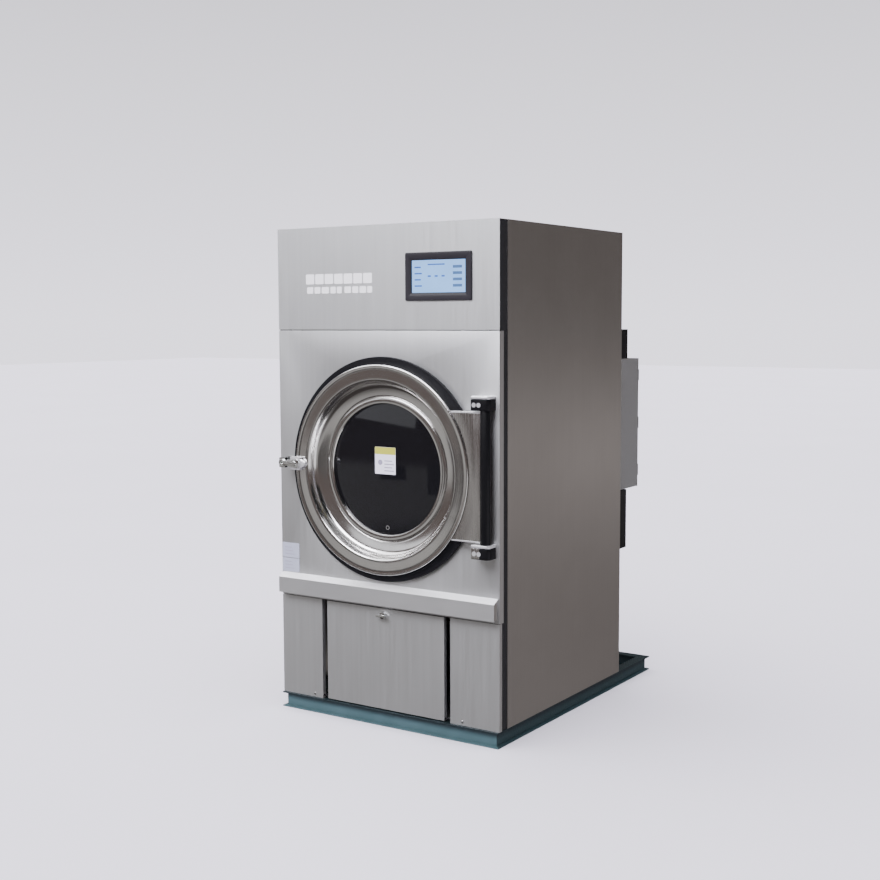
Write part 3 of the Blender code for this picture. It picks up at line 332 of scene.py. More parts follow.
# material name, colour, roughness, metallic, grain, variation, spread of roughness, relief
EVEN = {
    "zinc": ("galvanised_sheet", (0.5, 0.51, 0.52), 0.42, 0.9, 45, 0.14, 0.1, 0.06),
    "grey": ("grey_paint", (0.12, 0.12, 0.112), 0.42, 0.0, 320, 0.05, 0.05, 0.15),
    "chrome": ("chrome_plate", (0.8, 0.81, 0.8), 0.17, 1.0, 60, 0.04, 0.03, 0.1),
    "iron": ("machined_iron", (0.16, 0.16, 0.17), 0.45, 0.7, 200, 0.2, 0.1, 0.2),
    "motor": ("motor_paint", (0.1, 0.13, 0.15), 0.45, 0.0, 260, 0.1, 0.08, 0.2),
    "wire": ("screen_wire", (0.55, 0.55, 0.54), 0.35, 1.0, 90, 0.06, 0.06, 0.1),
    "bolt": ("bolt_steel", (0.62, 0.62, 0.62), 0.24, 1.0, 150, 0.1, 0.06, 0.1),
    "label": ("label_film", (0.8, 0.79, 0.9), 0.35, 0.0, 40, 0.02, 0.04, 0.03),
    "plate": ("plate_film", (0.37, 0.39, 0.48), 0.35, 0.0, 40, 0.03, 0.04, 0.03),
    "white": ("white_print", (0.97, 0.97, 0.97), 0.45, 0.0, 60, 0.02, 0.04, 0.03),
    "yellow": ("label_yellow", (0.46, 0.46, 0.035), 0.4, 0.0, 60, 0.04, 0.04, 0.03),
    "ink": ("label_ink", (0.28, 0.26, 0.36), 0.45, 0.0, 60, 0.04, 0.04, 0.03),
}
for key, values in EVEN.items():
    MAT[key] = surface(*values)[0]


# ---- mesh tools
def link(name, data):
    holder = bpy.data.objects.new(name, data)
    bpy.context.scene.collection.objects.link(holder)
    return holder


def show(name, mesh, material, body="cabinet", stands_for=None, smooth=30, bevel=0.0):
    """Adds a finished piece, one mesh or a list, that rides on a body and may stand for a CAD node."""
    if isinstance(mesh, list):
        mesh = joined(mesh)
    piece = link(name, mesh)
    mesh.materials.clear()
    mesh.materials.append(MAT[material])
    if smooth:
        mesh.shade_smooth()
        mesh.set_sharp_from_angle(angle=math.radians(smooth))
    if bevel:
        soften(piece, bevel)
    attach(piece, body)
    if stands_for:
        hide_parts(stands_for)
    return piece


def soften(piece, width):
    """Rounds the sharp edges by a small width."""
    step = piece.modifiers.new("soft_edges", "BEVEL")
    step.width = width
    step.segments = 2
    step.limit_method = "ANGLE"
    step.angle_limit = math.radians(35)
    step.harden_normals = False


def mesh_of(form):
    """Turns a bmesh into a mesh."""
    mesh = bpy.data.meshes.new("part")
    form.to_mesh(mesh)
    form.free()
    return mesh


def cleaned(mesh, merge=0.0):
    """The same mesh with its faces turned outwards, and its doubled points merged."""
    form = bmesh.new()
    form.from_mesh(mesh)
    if merge:
        bmesh.ops.remove_doubles(form, verts=form.verts, dist=merge)
    bmesh.ops.recalc_face_normals(form, faces=form.faces)
    form.to_mesh(mesh)
    form.free()
    return mesh


def raw_mesh(points, faces):
    mesh = bpy.data.meshes.new("part")
    mesh.from_pydata([tuple(point) for point in points], [], faces)
    return cleaned(mesh)


def joined(meshes):
    """One mesh out of several."""
    form = bmesh.new()
    for part in meshes:
        form.from_mesh(part)
    return mesh_of(form)


def block(low, high):
    """Box between two corners."""
    points = [(x, y, z) for x in (low[0], high[0]) for y in (low[1], high[1]) for z in (low[2], high[2])]
    faces = [(0, 1, 3, 2), (4, 6, 7, 5), (0, 4, 5, 1), (2, 3, 7, 6), (0, 2, 6, 4), (1, 5, 7, 3)]
    return raw_mesh(points, faces)


def place(axis, flat, along):
    """Point from two coordinates across an axis and one along it."""
    if axis == "X":
        return (along, flat[0], flat[1])
    if axis == "Y":
        return (flat[0], along, flat[1])
    return (flat[0], flat[1], along)


def loft(rings, wrap=False, caps=False):
    """Skin through rings of equally many points; it may close on itself or have flat ends."""
    rows, count = len(rings), len(rings[0])
    ends = (0, (rows - 1) * count) if caps else ()
    faces = [tuple(range(start, start + count)) for start in ends]
    for row in range(rows if wrap else rows - 1):
        here, after = row * count, (row + 1) % rows * count
        for step in range(count):
            beside = (step + 1) % count
            faces.append((here + step, here + beside, after + beside, after + step))
    return raw_mesh([point for ring in rings for point in ring], faces)


def polar(centre, radius, turn):
    """Point on a circle across an axis, at an angle in radians."""
    return (centre[0] + radius * math.cos(turn), centre[1] + radius * math.sin(turn))


def around(centre, radius, degrees):
    return polar(centre, radius, math.radians(degrees))


def lathe(profile, centre=DOOR_AXIS, axis="Y", steps=ROUND, solid=False):
    """Turns (radius, along) points about an axis. A solid's profile begins and ends on the axis."""
    turns = [2 * math.pi * step / steps for step in range(steps)]
    rings = [[place(axis, polar(centre, radius, turn), along) for turn in turns] for radius, along in profile]
    return loft(rings, not solid, solid)


def turned(profile, centre=DOOR_AXIS, axis="Y", steps=32):
    """Solid turned part with flat ends."""
    ends = (HUB, profile[0][1]), (HUB, profile[-1][1])
    return lathe([ends[0], *profile, ends[1]], centre, axis, steps, True)


def at_depth(profile):
    """(radius, depth behind the front) points as (radius, world y) points."""
    return [(radius, back(depth)) for radius, depth in profile]


def prism(outline, axis, start, end):
    """Outline across an axis, pulled from start to end."""
    return loft([[place(axis, flat, along) for flat in outline] for along in (start, end)], caps=True)


def arc(centre, radius, first, last, steps):
    return [around(centre, radius, first + (last - first) * step / steps) for step in range(steps + 1)]


def circle(centre, radius, steps):
    return arc(centre, radius, 0, 360 * (steps - 1) / steps, steps - 1)


def rectangle(left, low, right, high):
    return [(left, low), (right, low), (right, high), (left, high)]


def rounded(low, high, radius, steps=5):
    """Rectangle with rounded corners, between two corners across an axis."""
    outline = []
    corners = ((high[0] - radius, high[1] - radius, 0), (low[0] + radius, high[1] - radius, 90),
               (low[0] + radius, low[1] + radius, 180), (high[0] - radius, low[1] + radius, 270))
    for across, up, first in corners:
        outline += arc((across, up), radius, first, first + 90, steps)
    return outline


def bar(across, level, half_wide, half_high, radius, steps=5):
    """Rounded rectangle about its middle."""
    low, high = (across - half_wide, level - half_high), (across + half_wide, level + half_high)
    return rounded(low, high, radius, steps)


def curve_mesh(loops, closed, settings):
    """Mesh of a curve through loops of points, each with three coordinates."""
    curve = bpy.data.curves.new("curve", "CURVE")
    for name, value in settings.items():
        setattr(curve, name, value)
    for loop in loops:
        spline = curve.splines.new("POLY")
        spline.points.add(len(loop) - 1)
        for target, point in zip(spline.points, loop):
            target.co = (*point, 1)
        spline.use_cyclic_u = closed
    holder = link("curve", curve)
    bpy.context.view_layer.update()
    mesh = bpy.data.meshes.new_from_object(holder.evaluated_get(bpy.context.evaluated_depsgraph_get()))
    bpy.data.objects.remove(holder)
    bpy.data.curves.remove(curve)
    return mesh


def sheet(outline, axis, start, end, edge=0.0, holes=()):
    """Flat sheet across an axis with holes and soft edges: loops filled as a curve."""
    loops = [[(*flat, 0) for flat in loop] for loop in (outline, *holes)]
    mesh = curve_mesh(loops, True, {
        "dimensions": "2D", "fill_mode": "BOTH", "extrude": abs(end - start) / 2 - edge,
        "bevel_depth": edge, "bevel_resolution": 1, "offset": -edge,
    })
    middle = (start + end) / 2
    mesh.transform({
        "X": Matrix(((0, 0, 1, middle), (1, 0, 0, 0), (0, 1, 0, 0), (0, 0, 0, 1))),
        "Y": Matrix(((1, 0, 0, 0), (0, 0, 1, middle), (0, 1, 0, 0), (0, 0, 0, 1))),
        "Z": Matrix(((1, 0, 0, 0), (0, 1, 0, 0), (0, 0, 1, middle), (0, 0, 0, 1))),
    }[axis])
    return cleaned(mesh, 0.00002)


def hex_bolt(centre, face, across, height, axis="Y", outwards=1):
    """Hexagon bolt head on a washer, standing on a face."""
    head = [around(centre, across / 2, 60 * step) for step in range(6)]
    seat = face + outwards * height * 0.22
    washer = prism(circle(centre, across * 0.68, 24), axis, face, seat)
    return joined([washer, prism(head, axis, seat, face + outwards * height)])


# ---- camera, floor and light
def camera():
    lens = bpy.data.cameras.new("camera")
    lens.sensor_width = 36.0
    lens.lens = LENS
    lens.clip_start = 0.05
    holder = link("camera", lens)
    aim = (Matrix.Rotation(math.radians(CAMERA_AZIMUTH), 4, "Z")
           @ Matrix.Rotation(math.radians(90 - CAMERA_DROP), 4, "X"))
    roll = Matrix.Rotation(math.radians(CAMERA_ROLL), 4, "Z")
    holder.matrix_world = Matrix.Translation(CAMERA_AT) @ aim @ roll
    bpy.context.scene.camera = holder


def stage_object(name, mesh, material):
    holder = link(name, mesh)
    mesh.materials.append(material)
    return holder


def only_reflected(holder):
    """Shows in reflections alone, as a studio's cards and walls do when they stand out of the picture."""
    for kind in ("camera", "diffuse", "shadow", "transmission"):
        setattr(holder, "visible_" + kind, False)
    return holder


def floor():
    mesh = raw_mesh([(*flat, 0) for flat in rectangle(-30, -30, 30, 30)], [(0, 1, 2, 3)])
    made, tree, shader = new_material("floor_paint", FLOOR_TONE, 0.9)
    cloud = noise(tree, object_point(tree, 0.8), 2.0)
    dress(shader, {"Base Color": clouded(tree, cloud, FLOOR_TONE, 0.99, 1.01), "Specular IOR Level": 0.1})
    stage_object("floor", mesh, made).visible_glossy = False


def sky():
    """Pale even room that grows a little darker overhead."""
    world = bpy.data.worlds.new("room")
    bpy.context.scene.world = world
    world.use_nodes = True
    tree = world.node_tree
    level = node(tree, "SeparateXYZ", {"Vector": node(tree, "TexCoord", {})["Generated"]})["Z"]
    ramp = tree.nodes.new("ShaderNodeValToRGB")
    dress(ramp, {"Fac": level})
    stops = ramp.color_ramp.elements
    stops[0].position, stops[0].color = 0.0, (*SKY_LOW, 1)
    stops[1].position, stops[1].color = SKY_BLEND, (*SKY_HIGH, 1)
    dress(tree.nodes["Background"], {"Color": ramp.outputs["Color"], "Strength": SKY_STRENGTH})


def emission(name, colour, strength):
    """Plain glowing material."""
    made = bpy.data.materials.new(name)
    made.use_nodes = True
    made.node_tree.nodes.clear()
    glow = node(made.node_tree, "Emission", {"Color": colour, "Strength": strength})["Emission"]
    node(made.node_tree, "OutputMaterial", {"Surface": glow})
    return made


def direction(azimuth, elevation):
    """Unit vector: azimuth 0 is straight ahead of the machine (-Y), and 90 is to its right (+X)."""
    turn, rise = math.radians(azimuth), math.radians(elevation)
    return Vector((math.sin(turn) * math.cos(rise), -math.cos(turn) * math.cos(rise), math.sin(rise)))


def card(name, azimuth, elevation, wide, high, colour, strength):
    """Bright or dark card that only reflections see, with its size in degrees as the machine sees it."""
    aim = direction(azimuth, elevation)
    across = Vector((math.cos(math.radians(azimuth)), math.sin(math.radians(azimuth)), 0))
    up = aim.cross(across)
    half_w = CARD_DISTANCE * math.tan(math.radians(wide / 2))
    half_h = CARD_DISTANCE * math.tan(math.radians(high / 2))
    middle = Vector((0, 0, DOOR_Z)) + aim * CARD_DISTANCE
    corners = [middle + across * half_w * a + up * half_h * b for a, b in rectangle(-1, -1, 1, 1)]
    mesh = raw_mesh(corners, [(0, 1, 2, 3)])
    only_reflected(stage_object(name, mesh, emission(name, colour, strength)))


def reflected_room():
    """Workshop-like surroundings that polished parts mirror: dim walls, grey floor, brighter ceiling."""
    form = bmesh.new()
    bmesh.ops.create_icosphere(form, subdivisions=4, radius=ROOM_RADIUS)
    mesh = mesh_of(form)
    made = emission("room_walls", (1, 1, 1), 1.0)
    tree = made.node_tree
    point = node(tree, "TexCoord", {})["Object"]
    unit = node(tree, "VectorMath", {0: point}, operation="NORMALIZE")["Vector"]
    split = node(tree, "SeparateXYZ", {"Vector": unit})
    across, depth, height = (split[axis] for axis in "XYZ")
    ahead = ranged(tree, depth, 0.35, -0.35)
    right = ranged(tree, across, 0.0, 0.6)
    far_behind = mixed(tree, right, ROOM_FAR_LEFT, ROOM_FAR_RIGHT)
    far_ground = mixed(tree, ahead, far_behind, ROOM_FAR_FRONT)
    near_ground = mixed(tree, right, ROOM_NEAR_LEFT, ROOM_NEAR_RIGHT)
    ground = mixed(tree, ranged(tree, height, -0.34, -0.55), far_ground, near_ground)
    behind_wall = mixed(tree, right, ROOM_WALL_LEFT, ROOM_WALL_RIGHT)
    wall = mixed(tree, ahead, behind_wall, ROOM_WALL_LEFT)
    low_part = mixed(tree, ranged(tree, height, -0.11, -0.05), ground, wall)
    colour = mixed(tree, ranged(tree, height, 0.6, 0.75), low_part, ROOM_CEILING)
    dress(tree.nodes["Emission"], {"Color": colour})
    only_reflected(stage_object("room_walls", mesh, made)).location = (0, 0, DOOR_Z)


def dim_wall():
    """Wall on the machine's right that only dims the soft light from there."""
    mesh = raw_mesh([(11, *flat) for flat in rectangle(-16, 0, 16, 12)], [(0, 1, 2, 3)])
    made = emission("dim_wall", (1.0, 0.97, 1.05), DIM_WALL)
    holder = only_reflected(stage_object("dim_wall", mesh, made))
    holder.visible_diffuse = True
    holder.visible_glossy = False


def overhead():
    """Wide soft light from above, a little from the front and left."""
    light = bpy.data.lights.new("overhead", "SUN")
    light.energy = OVERHEAD_POWER
    light.angle = math.radians(OVERHEAD_SPREAD)
    holder = link("overhead", light)
    holder.rotation_euler = (-direction(*OVERHEAD_AIM)).to_track_quat("-Z", "Y").to_euler()
    holder.visible_glossy = False


def studio():
    sky()
    overhead()
    floor()
    reflected_room()
    dim_wall()
    for values in CARDS:
        card(*values)


# ---- back of the machine
def fins(centre, inner, outer, start, end, count, gap=(0, 0)):
    """Thin cooling fins along Y round a motor body, left out between two angles."""
    parts = []
    half = 0.001
    for index in range(count):
        angle = 360 * index / count
        if gap[0] < angle < gap[1]:
            continue
        turn = math.radians(angle)
        along, side = (math.cos(turn), math.sin(turn)), (-math.sin(turn), math.cos(turn))
        outline = []
        for distance, sign in ((inner, -1), (outer, -0.6), (outer, 0.6), (inner, 1)):
            outline.append((centre[0] + along[0] * distance + side[0] * half * sign,
                            centre[1] + along[1] * distance + side[1] * half * sign))
        parts.append(prism(outline, "Y", start, end))
    return joined(parts)


def terminal_box(name, across, base, start, end):
    """Cover on top of a motor, with its lid, four screws and a cable gland."""
    left, right = across - 0.028, across + 0.028
    lip = 0.002
    cover = sheet(rounded((left, start), (right, end), 0.006), "Z", base, base + 0.024, 0.0015)
    lid = sheet(rounded((left - lip, start - lip), (right + lip, end + lip), 0.007), "Z",
                base + 0.0245, base + 0.03, 0.0015)
    show(name, [cover, lid], "motor")
    screws = [hex_bolt((x, y), base + 0.03, 0.007, 0.003, "Z")
              for x in (left + 0.006, right - 0.006) for y in (start + 0.007, end - 0.007)]
    stem = [(0.01, right), (0.01, right + 0.006), (0.0075, right + 0.008), (0.0075, right + 0.016)]
    gland = turned(stem, ((start + end) / 2, base + 0.012), "X", 24)
    show(name + "_screws", screws, "bolt")
    show(name + "_gland", gland, "rubber")


def motors():
    """Ribs, end bells, terminal boxes and foot bolts of the two motors."""
    gear_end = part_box("gear_motor")[1].y
    gear_x, gear_z = GEAR_MOTOR_AT
    fan_x, fan_z = FAN_MOTOR_AT
    show("gear_motor_fins", fins(GEAR_MOTOR_AT, 0.0552, 0.0595, back(0.978), back(1.053), 40), "motor")
    cowl = [(0.04, gear_end - 0.0004), (0.052, gear_end - 0.0012), (0.0585, gear_end - 0.006),
            (0.0612, gear_end - 0.014), (0.0612, back(1.056)), (0.059, back(1.0545))]
    show("gear_motor_cowl", turned(cowl, GEAR_MOTOR_AT, steps=64), "motor")
    bolts = [hex_bolt((across, level), back(0.975), 0.011, 0.006)
             for across in (-0.05, 0.05) for level in (gear_z - 0.05, gear_z + 0.05)]
    for across in (-0.074, 0.074, fan_x - 0.055, fan_x + 0.055):
        for depth in (0.8415, 1.076):
            bolts.append(hex_bolt((across, back(depth)), 0.0564, 0.013, 0.008, "Z"))
    show("motor_bolts", bolts, "bolt")
    fan_fins = fins(FAN_MOTOR_AT, 0.0612, 0.066, back(0.852), back(0.985), 44, (225, 315))
    show("fan_motor_fins", fan_fins, "motor")
    bell = at_depth([(0.044, 1.0195), (0.057, 1.0185), (0.0645, 1.012), (0.0665, 1.002), (0.0665, 0.988),
                     (0.064, 0.9865)])
    bell = [(radius, depth + 0.0008) for radius, depth in bell]
    show("fan_motor_cowl", turned(bell, FAN_MOTOR_AT, steps=64), "motor")
    terminal_box("gear_terminal_box", gear_x, gear_z + 0.0612, back(0.902), back(0.966))
    terminal_box("fan_terminal_box", fan_x, fan_z + 0.064, back(0.88), back(0.945))


def belt_cover():
    """Bolts, raised ribs and shaft cap on the belt guard."""
    wheel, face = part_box("belt_guard")[1].xy
    bolts = [hex_bolt(around(DOOR_AXIS, wheel - 0.014, angle), face, 0.011, 0.005)
             for angle in (20, 75, 130, 160)]
    show("guard_bolts", bolts, "bolt")
    ribs = []
    for row in range(7):
        half = 0.085 - abs(row - 3) * 0.012
        level = DOOR_Z - 0.054 + row * 0.018
        ribs.append(sheet(bar(0, level, half, 0.0035, 0.0034, 6), "Y", face + 0.0001, face + 0.0016, 0.0006))
    show("guard_ribs", ribs, "black")
    cap = [(0.03, face), (0.034, face + 0.0008), (0.034, face + 0.003), (0.03, face + 0.0042)]
    show("guard_cap", turned(cap, (0, DOOR_Z + 0.118), steps=48), "rubber")


def rear_details():
    """Hoods over the air slots, the panel's screws, and the electrical box's lid."""
    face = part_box("rear_panel")[1].y
    hoods = []
    for row in range(5):
        base = 1.33 + row * 0.04 + 0.012
        crest = [(face, base + 0.006), (face + 0.0012, base + 0.006), (face + 0.0105, base - 0.009)]
        under = [(face + 0.0098, base - 0.0098), (face + 0.0004, base + 0.0045), (face, base + 0.0045)]
        hoods.append(prism(crest + under, "X", -0.166, 0.166))
        for start, end in ((-0.1666, -0.1652), (0.1652, 0.1666)):
            hoods.append(prism(crest + [(face, base - 0.009)], "X", start, end))
    show("air_hoods", hoods, "zinc", bevel=0.0003)
    spots = []
    for row in range(7):
        level = 0.1 + row * 0.235
        spots.append((0.016 - HALF, level))
        beside_box = 0.45 < level < 1.3
        if not beside_box:
            spots.append((HALF - 0.016, level))
    spots += [(-0.3 + column * 0.2, TOP - 0.016) for column in range(4)]
    show("rear_screws", [hex_bolt(spot, face, 0.009, 0.0035) for spot in spots], "bolt")
    box_lid()


def box_lid():
    """Two locks, three hinge knuckles and a raised bead on the electrical box's cover."""
    low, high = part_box("electrical_box_cover")
    lid = high.y
    locks = []
    for level in (low.z + 0.1, high.z - 0.1):
        across = low.x + 0.018
        knob = [(HUB, lid), (0.011, lid), (0.0125, lid + 0.001), (0.0115, lid + 0.0035),
                (HUB, lid + 0.0038)]
        key_slot = bar(across, level, 0.0085, 0.0016, 0.0014)
        locks.append(lathe(knob, (across, level), steps=32, solid=True))
        locks.append(sheet(key_slot, "Y", lid + 0.0036, lid + 0.0048, 0.0004))
    show("box_locks", locks, "bolt")
    knuckles = []
    for level in (low.z + 0.06, (low.z + high.z) / 2, high.z - 0.06):
        barrel = [(0.0036, level - 0.02), (0.004, level - 0.019), (0.004, level + 0.019),
                  (0.0036, level + 0.02)]
        knuckles.append(turned(barrel, (high.x - 0.0035, lid + 0.003), "Z", 20))
    show("box_hinges", knuckles, "grey")
    outer, inner = [
        rounded((low.x + inset + 0.022, low.z + inset), (high.x - inset, high.z - inset), radius)
        for inset, radius in ((0.012, 0.006), (0.016, 0.004))]
    show("box_lid_bead", sheet(outer, "Y", lid - 0.0003, lid + 0.0009, 0.0005, [inner]), "grey")


def exhaust_collar():
    """Rolled beads round the exhaust outlet, where the duct clamps on."""
    beads = []
    for depth in (0.862, 0.884):
        start = back(depth) - 0.003
        ring = [(0.0697, start)]
        ring += [(0.07 + 0.0018 * math.sin(math.radians(step * 30)), start + 0.006 * step / 6)
                 for step in range(1, 6)]
        ring += [(0.0697, back(depth) + 0.003)]
        beads.append(lathe(ring, EXHAUST_AT, steps=96))
    show("exhaust_beads", beads, "zinc")


def roof_screws():
    """Domed screws along the edges of the top sheet."""
    low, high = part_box("top_panel")
    dome = [(HUB, TOP - 0.0002), (0.005, TOP - 0.0002), (0.0047, TOP - 0.0001), (HUB, TOP - 0.00005)]
    screws = []
    for side in (-1, 1):
        for row in range(4):
            depth = low.y + 0.06 + row * (high.y - low.y - 0.12) / 3
            screws.append(lathe(dome, (side * (high.x - 0.014), depth), "Z", 20, True))
    show("roof_screws", screws, "bolt")


def lint_mesh():
    """Framed lint screen with a wire mesh across it."""
    low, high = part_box("lint_screen")
    rim_width = 0.014
    window = rectangle(low.x + rim_width, low.y + rim_width, high.x - rim_width, high.y - rim_width)
    rim = sheet(rectangle(low.x, low.y, high.x, high.y), "Z", low.z, high.z, 0.0008, [window])
    show("lint_frame", rim, "wire", stands_for="lint_screen")
    columns, rows = 56, 70
    start_x, start_y = low.x + rim_width - 0.001, low.y + rim_width - 0.001
    wide, long = (high.x - low.x) - 2 * rim_width + 0.002, (high.y - low.y) - 2 * rim_width + 0.002
    points = [(start_x + wide * column / columns, start_y + long * row / rows, low.z + 0.003)
              for row in range(rows + 1) for column in range(columns + 1)]
    faces = []
    for row in range(rows):
        for column in range(columns):
            corner = row * (columns + 1) + column
            faces.append((corner, corner + 1, corner + columns + 2, corner + columns + 1))
    net = show("lint_net", raw_mesh(points, faces), "wire", smooth=0)
    wires = net.modifiers.new("wires", "WIREFRAME")
    wires.thickness = 0.0011
    wires.use_boundary = True


# ---- finish of the CAD nodes that stay
KEPT = (
    ("teal", 0.0016, ("base_rail_front",)),
    # the side, rear and cross rails take the darker copy of the teal paint, as painted shade
    ("teal_painted_shade", 0.0016, ("base_rail_left", "base_rail_right", "base_rail_rear", "base_cross_rail")),
    ("side", 0.0008, ("left_side_panel", "right_side_panel")),
    ("side", 0.0006, ("top_panel",)),
    ("front", 0.0008, ("control_panel", "lower_panel_left", "lower_panel_right")),
    ("ledge", 0.0006, ("ledge",)),
    ("post", 0.0006, ("corner_post_left", "corner_post_right")),
    ("zinc", 0.0004, ("rear_panel", "rear_bulkhead")),
    ("zinc", 0.0003, ("heater_box", "lint_chute", "fan_housing")),
    ("zinc", 0.0, ("fan_wheel",)),
    ("black", 0.0004, ("upper_cable_duct", "lower_cable_duct")),
    ("black", 0.0006, ("belt_guard",)),
    ("grey", 0.0008, ("electrical_box",)),
    ("grey", 0.0006, ("electrical_box_cover",)),
    ("motor", 0.001, ("fan_motor", "gear_motor")),
    ("rubber", 0.0, ("drive_belt",)),
    ("iron", 0.0006, ("drum_pulley", "motor_pulley", "drum_shaft")),
    ("iron", 0.0006, ("front_flange_bearing", "rear_flange_bearing")),
    ("iron", 0.0, ("heating_element",)),
    ("drum", 0.0006, ("drum_lifter_1", "drum_lifter_2", "drum_lifter_3")),
    ("chrome", 0.0008, ("latch_strike",)),
)


def finish_kept_nodes():
    """Gives each CAD node that still shows its material, and rounds its edges a little."""
    for material, rounding, names in KEPT:
        for name in names:
            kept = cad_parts[name]
            kept.data.materials.clear()
            kept.data.materials.append(MAT[material])
            if rounding:
                soften(kept, rounding)


# ---- front sheets
def front_panel():
    """Folded front sheet with a smooth round opening."""
    low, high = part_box("front_panel")
    opening = circle(DOOR_AXIS, 0.2961, DISC_ROUND)
    parts = [sheet(rectangle(low.x, low.z, high.x, high.z), "Y", low.y, low.y + SHEET, 0.0005, [opening])]
    for side in (-1, 1):
        edge = side * HALF
        inner, outer = sorted((edge, edge - side * SHEET))
        parts.append(block((inner, low.y + SHEET * 0.6, low.z), (outer, high.y, high.z)))
    show("front_sheet", parts, "front", stands_for="front_panel")


def lint_panel():
    """Folded lint door with softened bends, and the dark pivot stubs near its foot."""
    low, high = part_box("lint_door")
    left, right = LINT_LEFT, LINT_RIGHT
    outline = [(left, low.y), (right, low.y), (right, high.y), (right - SHEET, high.y),
               (right - SHEET, low.y + SHEET), (left + SHEET, low.y + SHEET), (left + SHEET, high.y),
               (left, high.y)]
    fold = block((left + SHEET, low.y + SHEET * 0.5, high.z - SHEET),
                 (right - SHEET, low.y + 0.0095, high.z))
    show("lint_leaf", [prism(outline, "Z", low.z, high.z), fold], "front", "lint_door", "lint_door",
         bevel=0.0008)
    stubs = []
    for inner, outer in ((left + SHEET * 0.5, low.x), (right - SHEET * 0.5, high.x)):
        start, end = sorted((inner, outer))
        stubs.append(turned([(0.003, start), (0.003, end)], (back(0.006), 0.061), "X", 20))
    show("lint_pivots", stubs, "black", "lint_door")


def title_bars():
    """Two rows of plain bars in place of the printed name."""
    face = FRONT_Y - 0.0002
    upper = [(-0.307 + step * 0.0385, 0.0345) for step in range(7)]
    lower = [(-0.303, 0.026), (-0.272, 0.024), (-0.243, 0.03), (-0.207, 0.022), (-0.181, 0.02),
             (-0.15, 0.026), (-0.119, 0.024), (-0.09, 0.026), (-0.06, 0.019)]
    parts = []
    for row, base, height in ((upper, 1.4185, 0.032), (lower, 1.3885, 0.021)):
        for start, width in row:
            outline = rounded((start, base), (start + width, base + height), 0.004)
            parts.append(prism(outline, "Y", face, face - 0.0004))
    show("title_bars", parts, "white")


def film_plates():
    """Two blank plates with plain lines, one above the other at the left of the door."""
    face = FRONT_Y - 0.0002
    left = -0.412
    for name, low, high in (("plate_upper", 0.5125, 0.562), ("plate_lower", 0.4645, 0.5105)):
        outline = rounded((-0.4225, low), (-0.351, high), 0.003)
        show(name, prism(outline, "Y", face, face - 0.0006), "plate", bevel=0.0002)
        lines = []
        for row in range(3):
            base = low + 0.011 + row * 0.011
            end = left + 0.04 - row * 0.006
            lines.append(block((left, face - 0.0009, base), (end, face - 0.0006, base + 0.002)))
        show(name + "_rule", lines, "ink")


def panel_screws():
    """Small domed screws that hold the lower panels."""
    dome = at_depth([(HUB, -0.003), (0.0022, -0.0028), (0.004, -0.0018), (0.0048, -0.0002)])
    for name, across in (("panel_screw_left", -0.291), ("panel_screw_right", 0.291)):
        show(name, lathe(dome, (across, 0.062), steps=24, solid=True), "bolt")


# ---- touchscreen
def touchscreen():
    """Moulded frame with a stepped inner edge, and the lit glass behind it."""
    low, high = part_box("touchscreen_housing")
    glass_low, glass_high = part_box("touchscreen_glass")
    face = low.y
    # inset from the outline, world y and corner radius of each step
    steps = (
        (0.0, FRONT_Y - 0.0003, 0.004), (0.0, face + 0.0022, 0.004), (0.0016, face + 0.0006, 0.0034),
        (0.004, face, 0.003), (0.015, face, 0.002), (0.0172, face + 0.0012, 0.002),
        (0.0232, glass_low.y - 0.0003, 0.0012),
    )
    rings = []
    for inset, depth, radius in steps:
        loop = rounded((low.x + inset, low.z + inset), (high.x - inset, high.z - inset), radius, 4)
        rings.append([(x, depth, z) for x, z in loop])
    margin = 0.012
    body = block((low.x + margin, FRONT_Y + 0.0001, low.z + margin),
                 (high.x - margin, FRONT_Y + 0.04, high.z - margin))
    show("screen_frame", [loft(rings), body], "bezel", stands_for="touchscreen_housing")
    gap = 0.0004
    pane = rounded((glass_low.x + gap, glass_low.z + gap), (glass_high.x - gap, glass_high.z - gap), 0.001)
    show("screen_glass", sheet(pane, "Y", glass_low.y, glass_high.y), "lit", stands_for="touchscreen_glass")
    screen_marks(glass_low, glass_high)


def screen_marks(low, high):
    """Plain bars and keys on the display, with no lettering."""
    width, height = high.x - low.x, high.z - low.z
    marks = []
    keys = []
    for row in range(4):
        level = high.z - height * (0.22 + 0.19 * row)
        end = low.x + width * (0.17 + 0.02 * (row % 2))
        marks.append(((low.x + width * 0.05, level - 0.0022), (end, level + 0.0022)))
        keys.append(((high.x - width * 0.23, level - 0.0042), (high.x - width * 0.06, level + 0.0042)))
    marks.append(((low.x + width * 0.3, high.z - height * 0.16),
                  (low.x + width * 0.62, high.z - height * 0.12)))
    for column in range(3):
        start = low.x + width * (0.3 + 0.13 * column)
        marks.append(((start, low.z + height * 0.48), (start + width * 0.06, low.z + height * 0.53)))
    for name, boxes, material in (("screen_marks", marks, "lit_mark"), ("screen_keys", keys, "lit_key")):
        outlines = [rounded(first, last, 0.0008, 2) for first, last in boxes]
        show(name, [prism(outline, "Y", low.y, low.y - 0.00015) for outline in outlines], material)


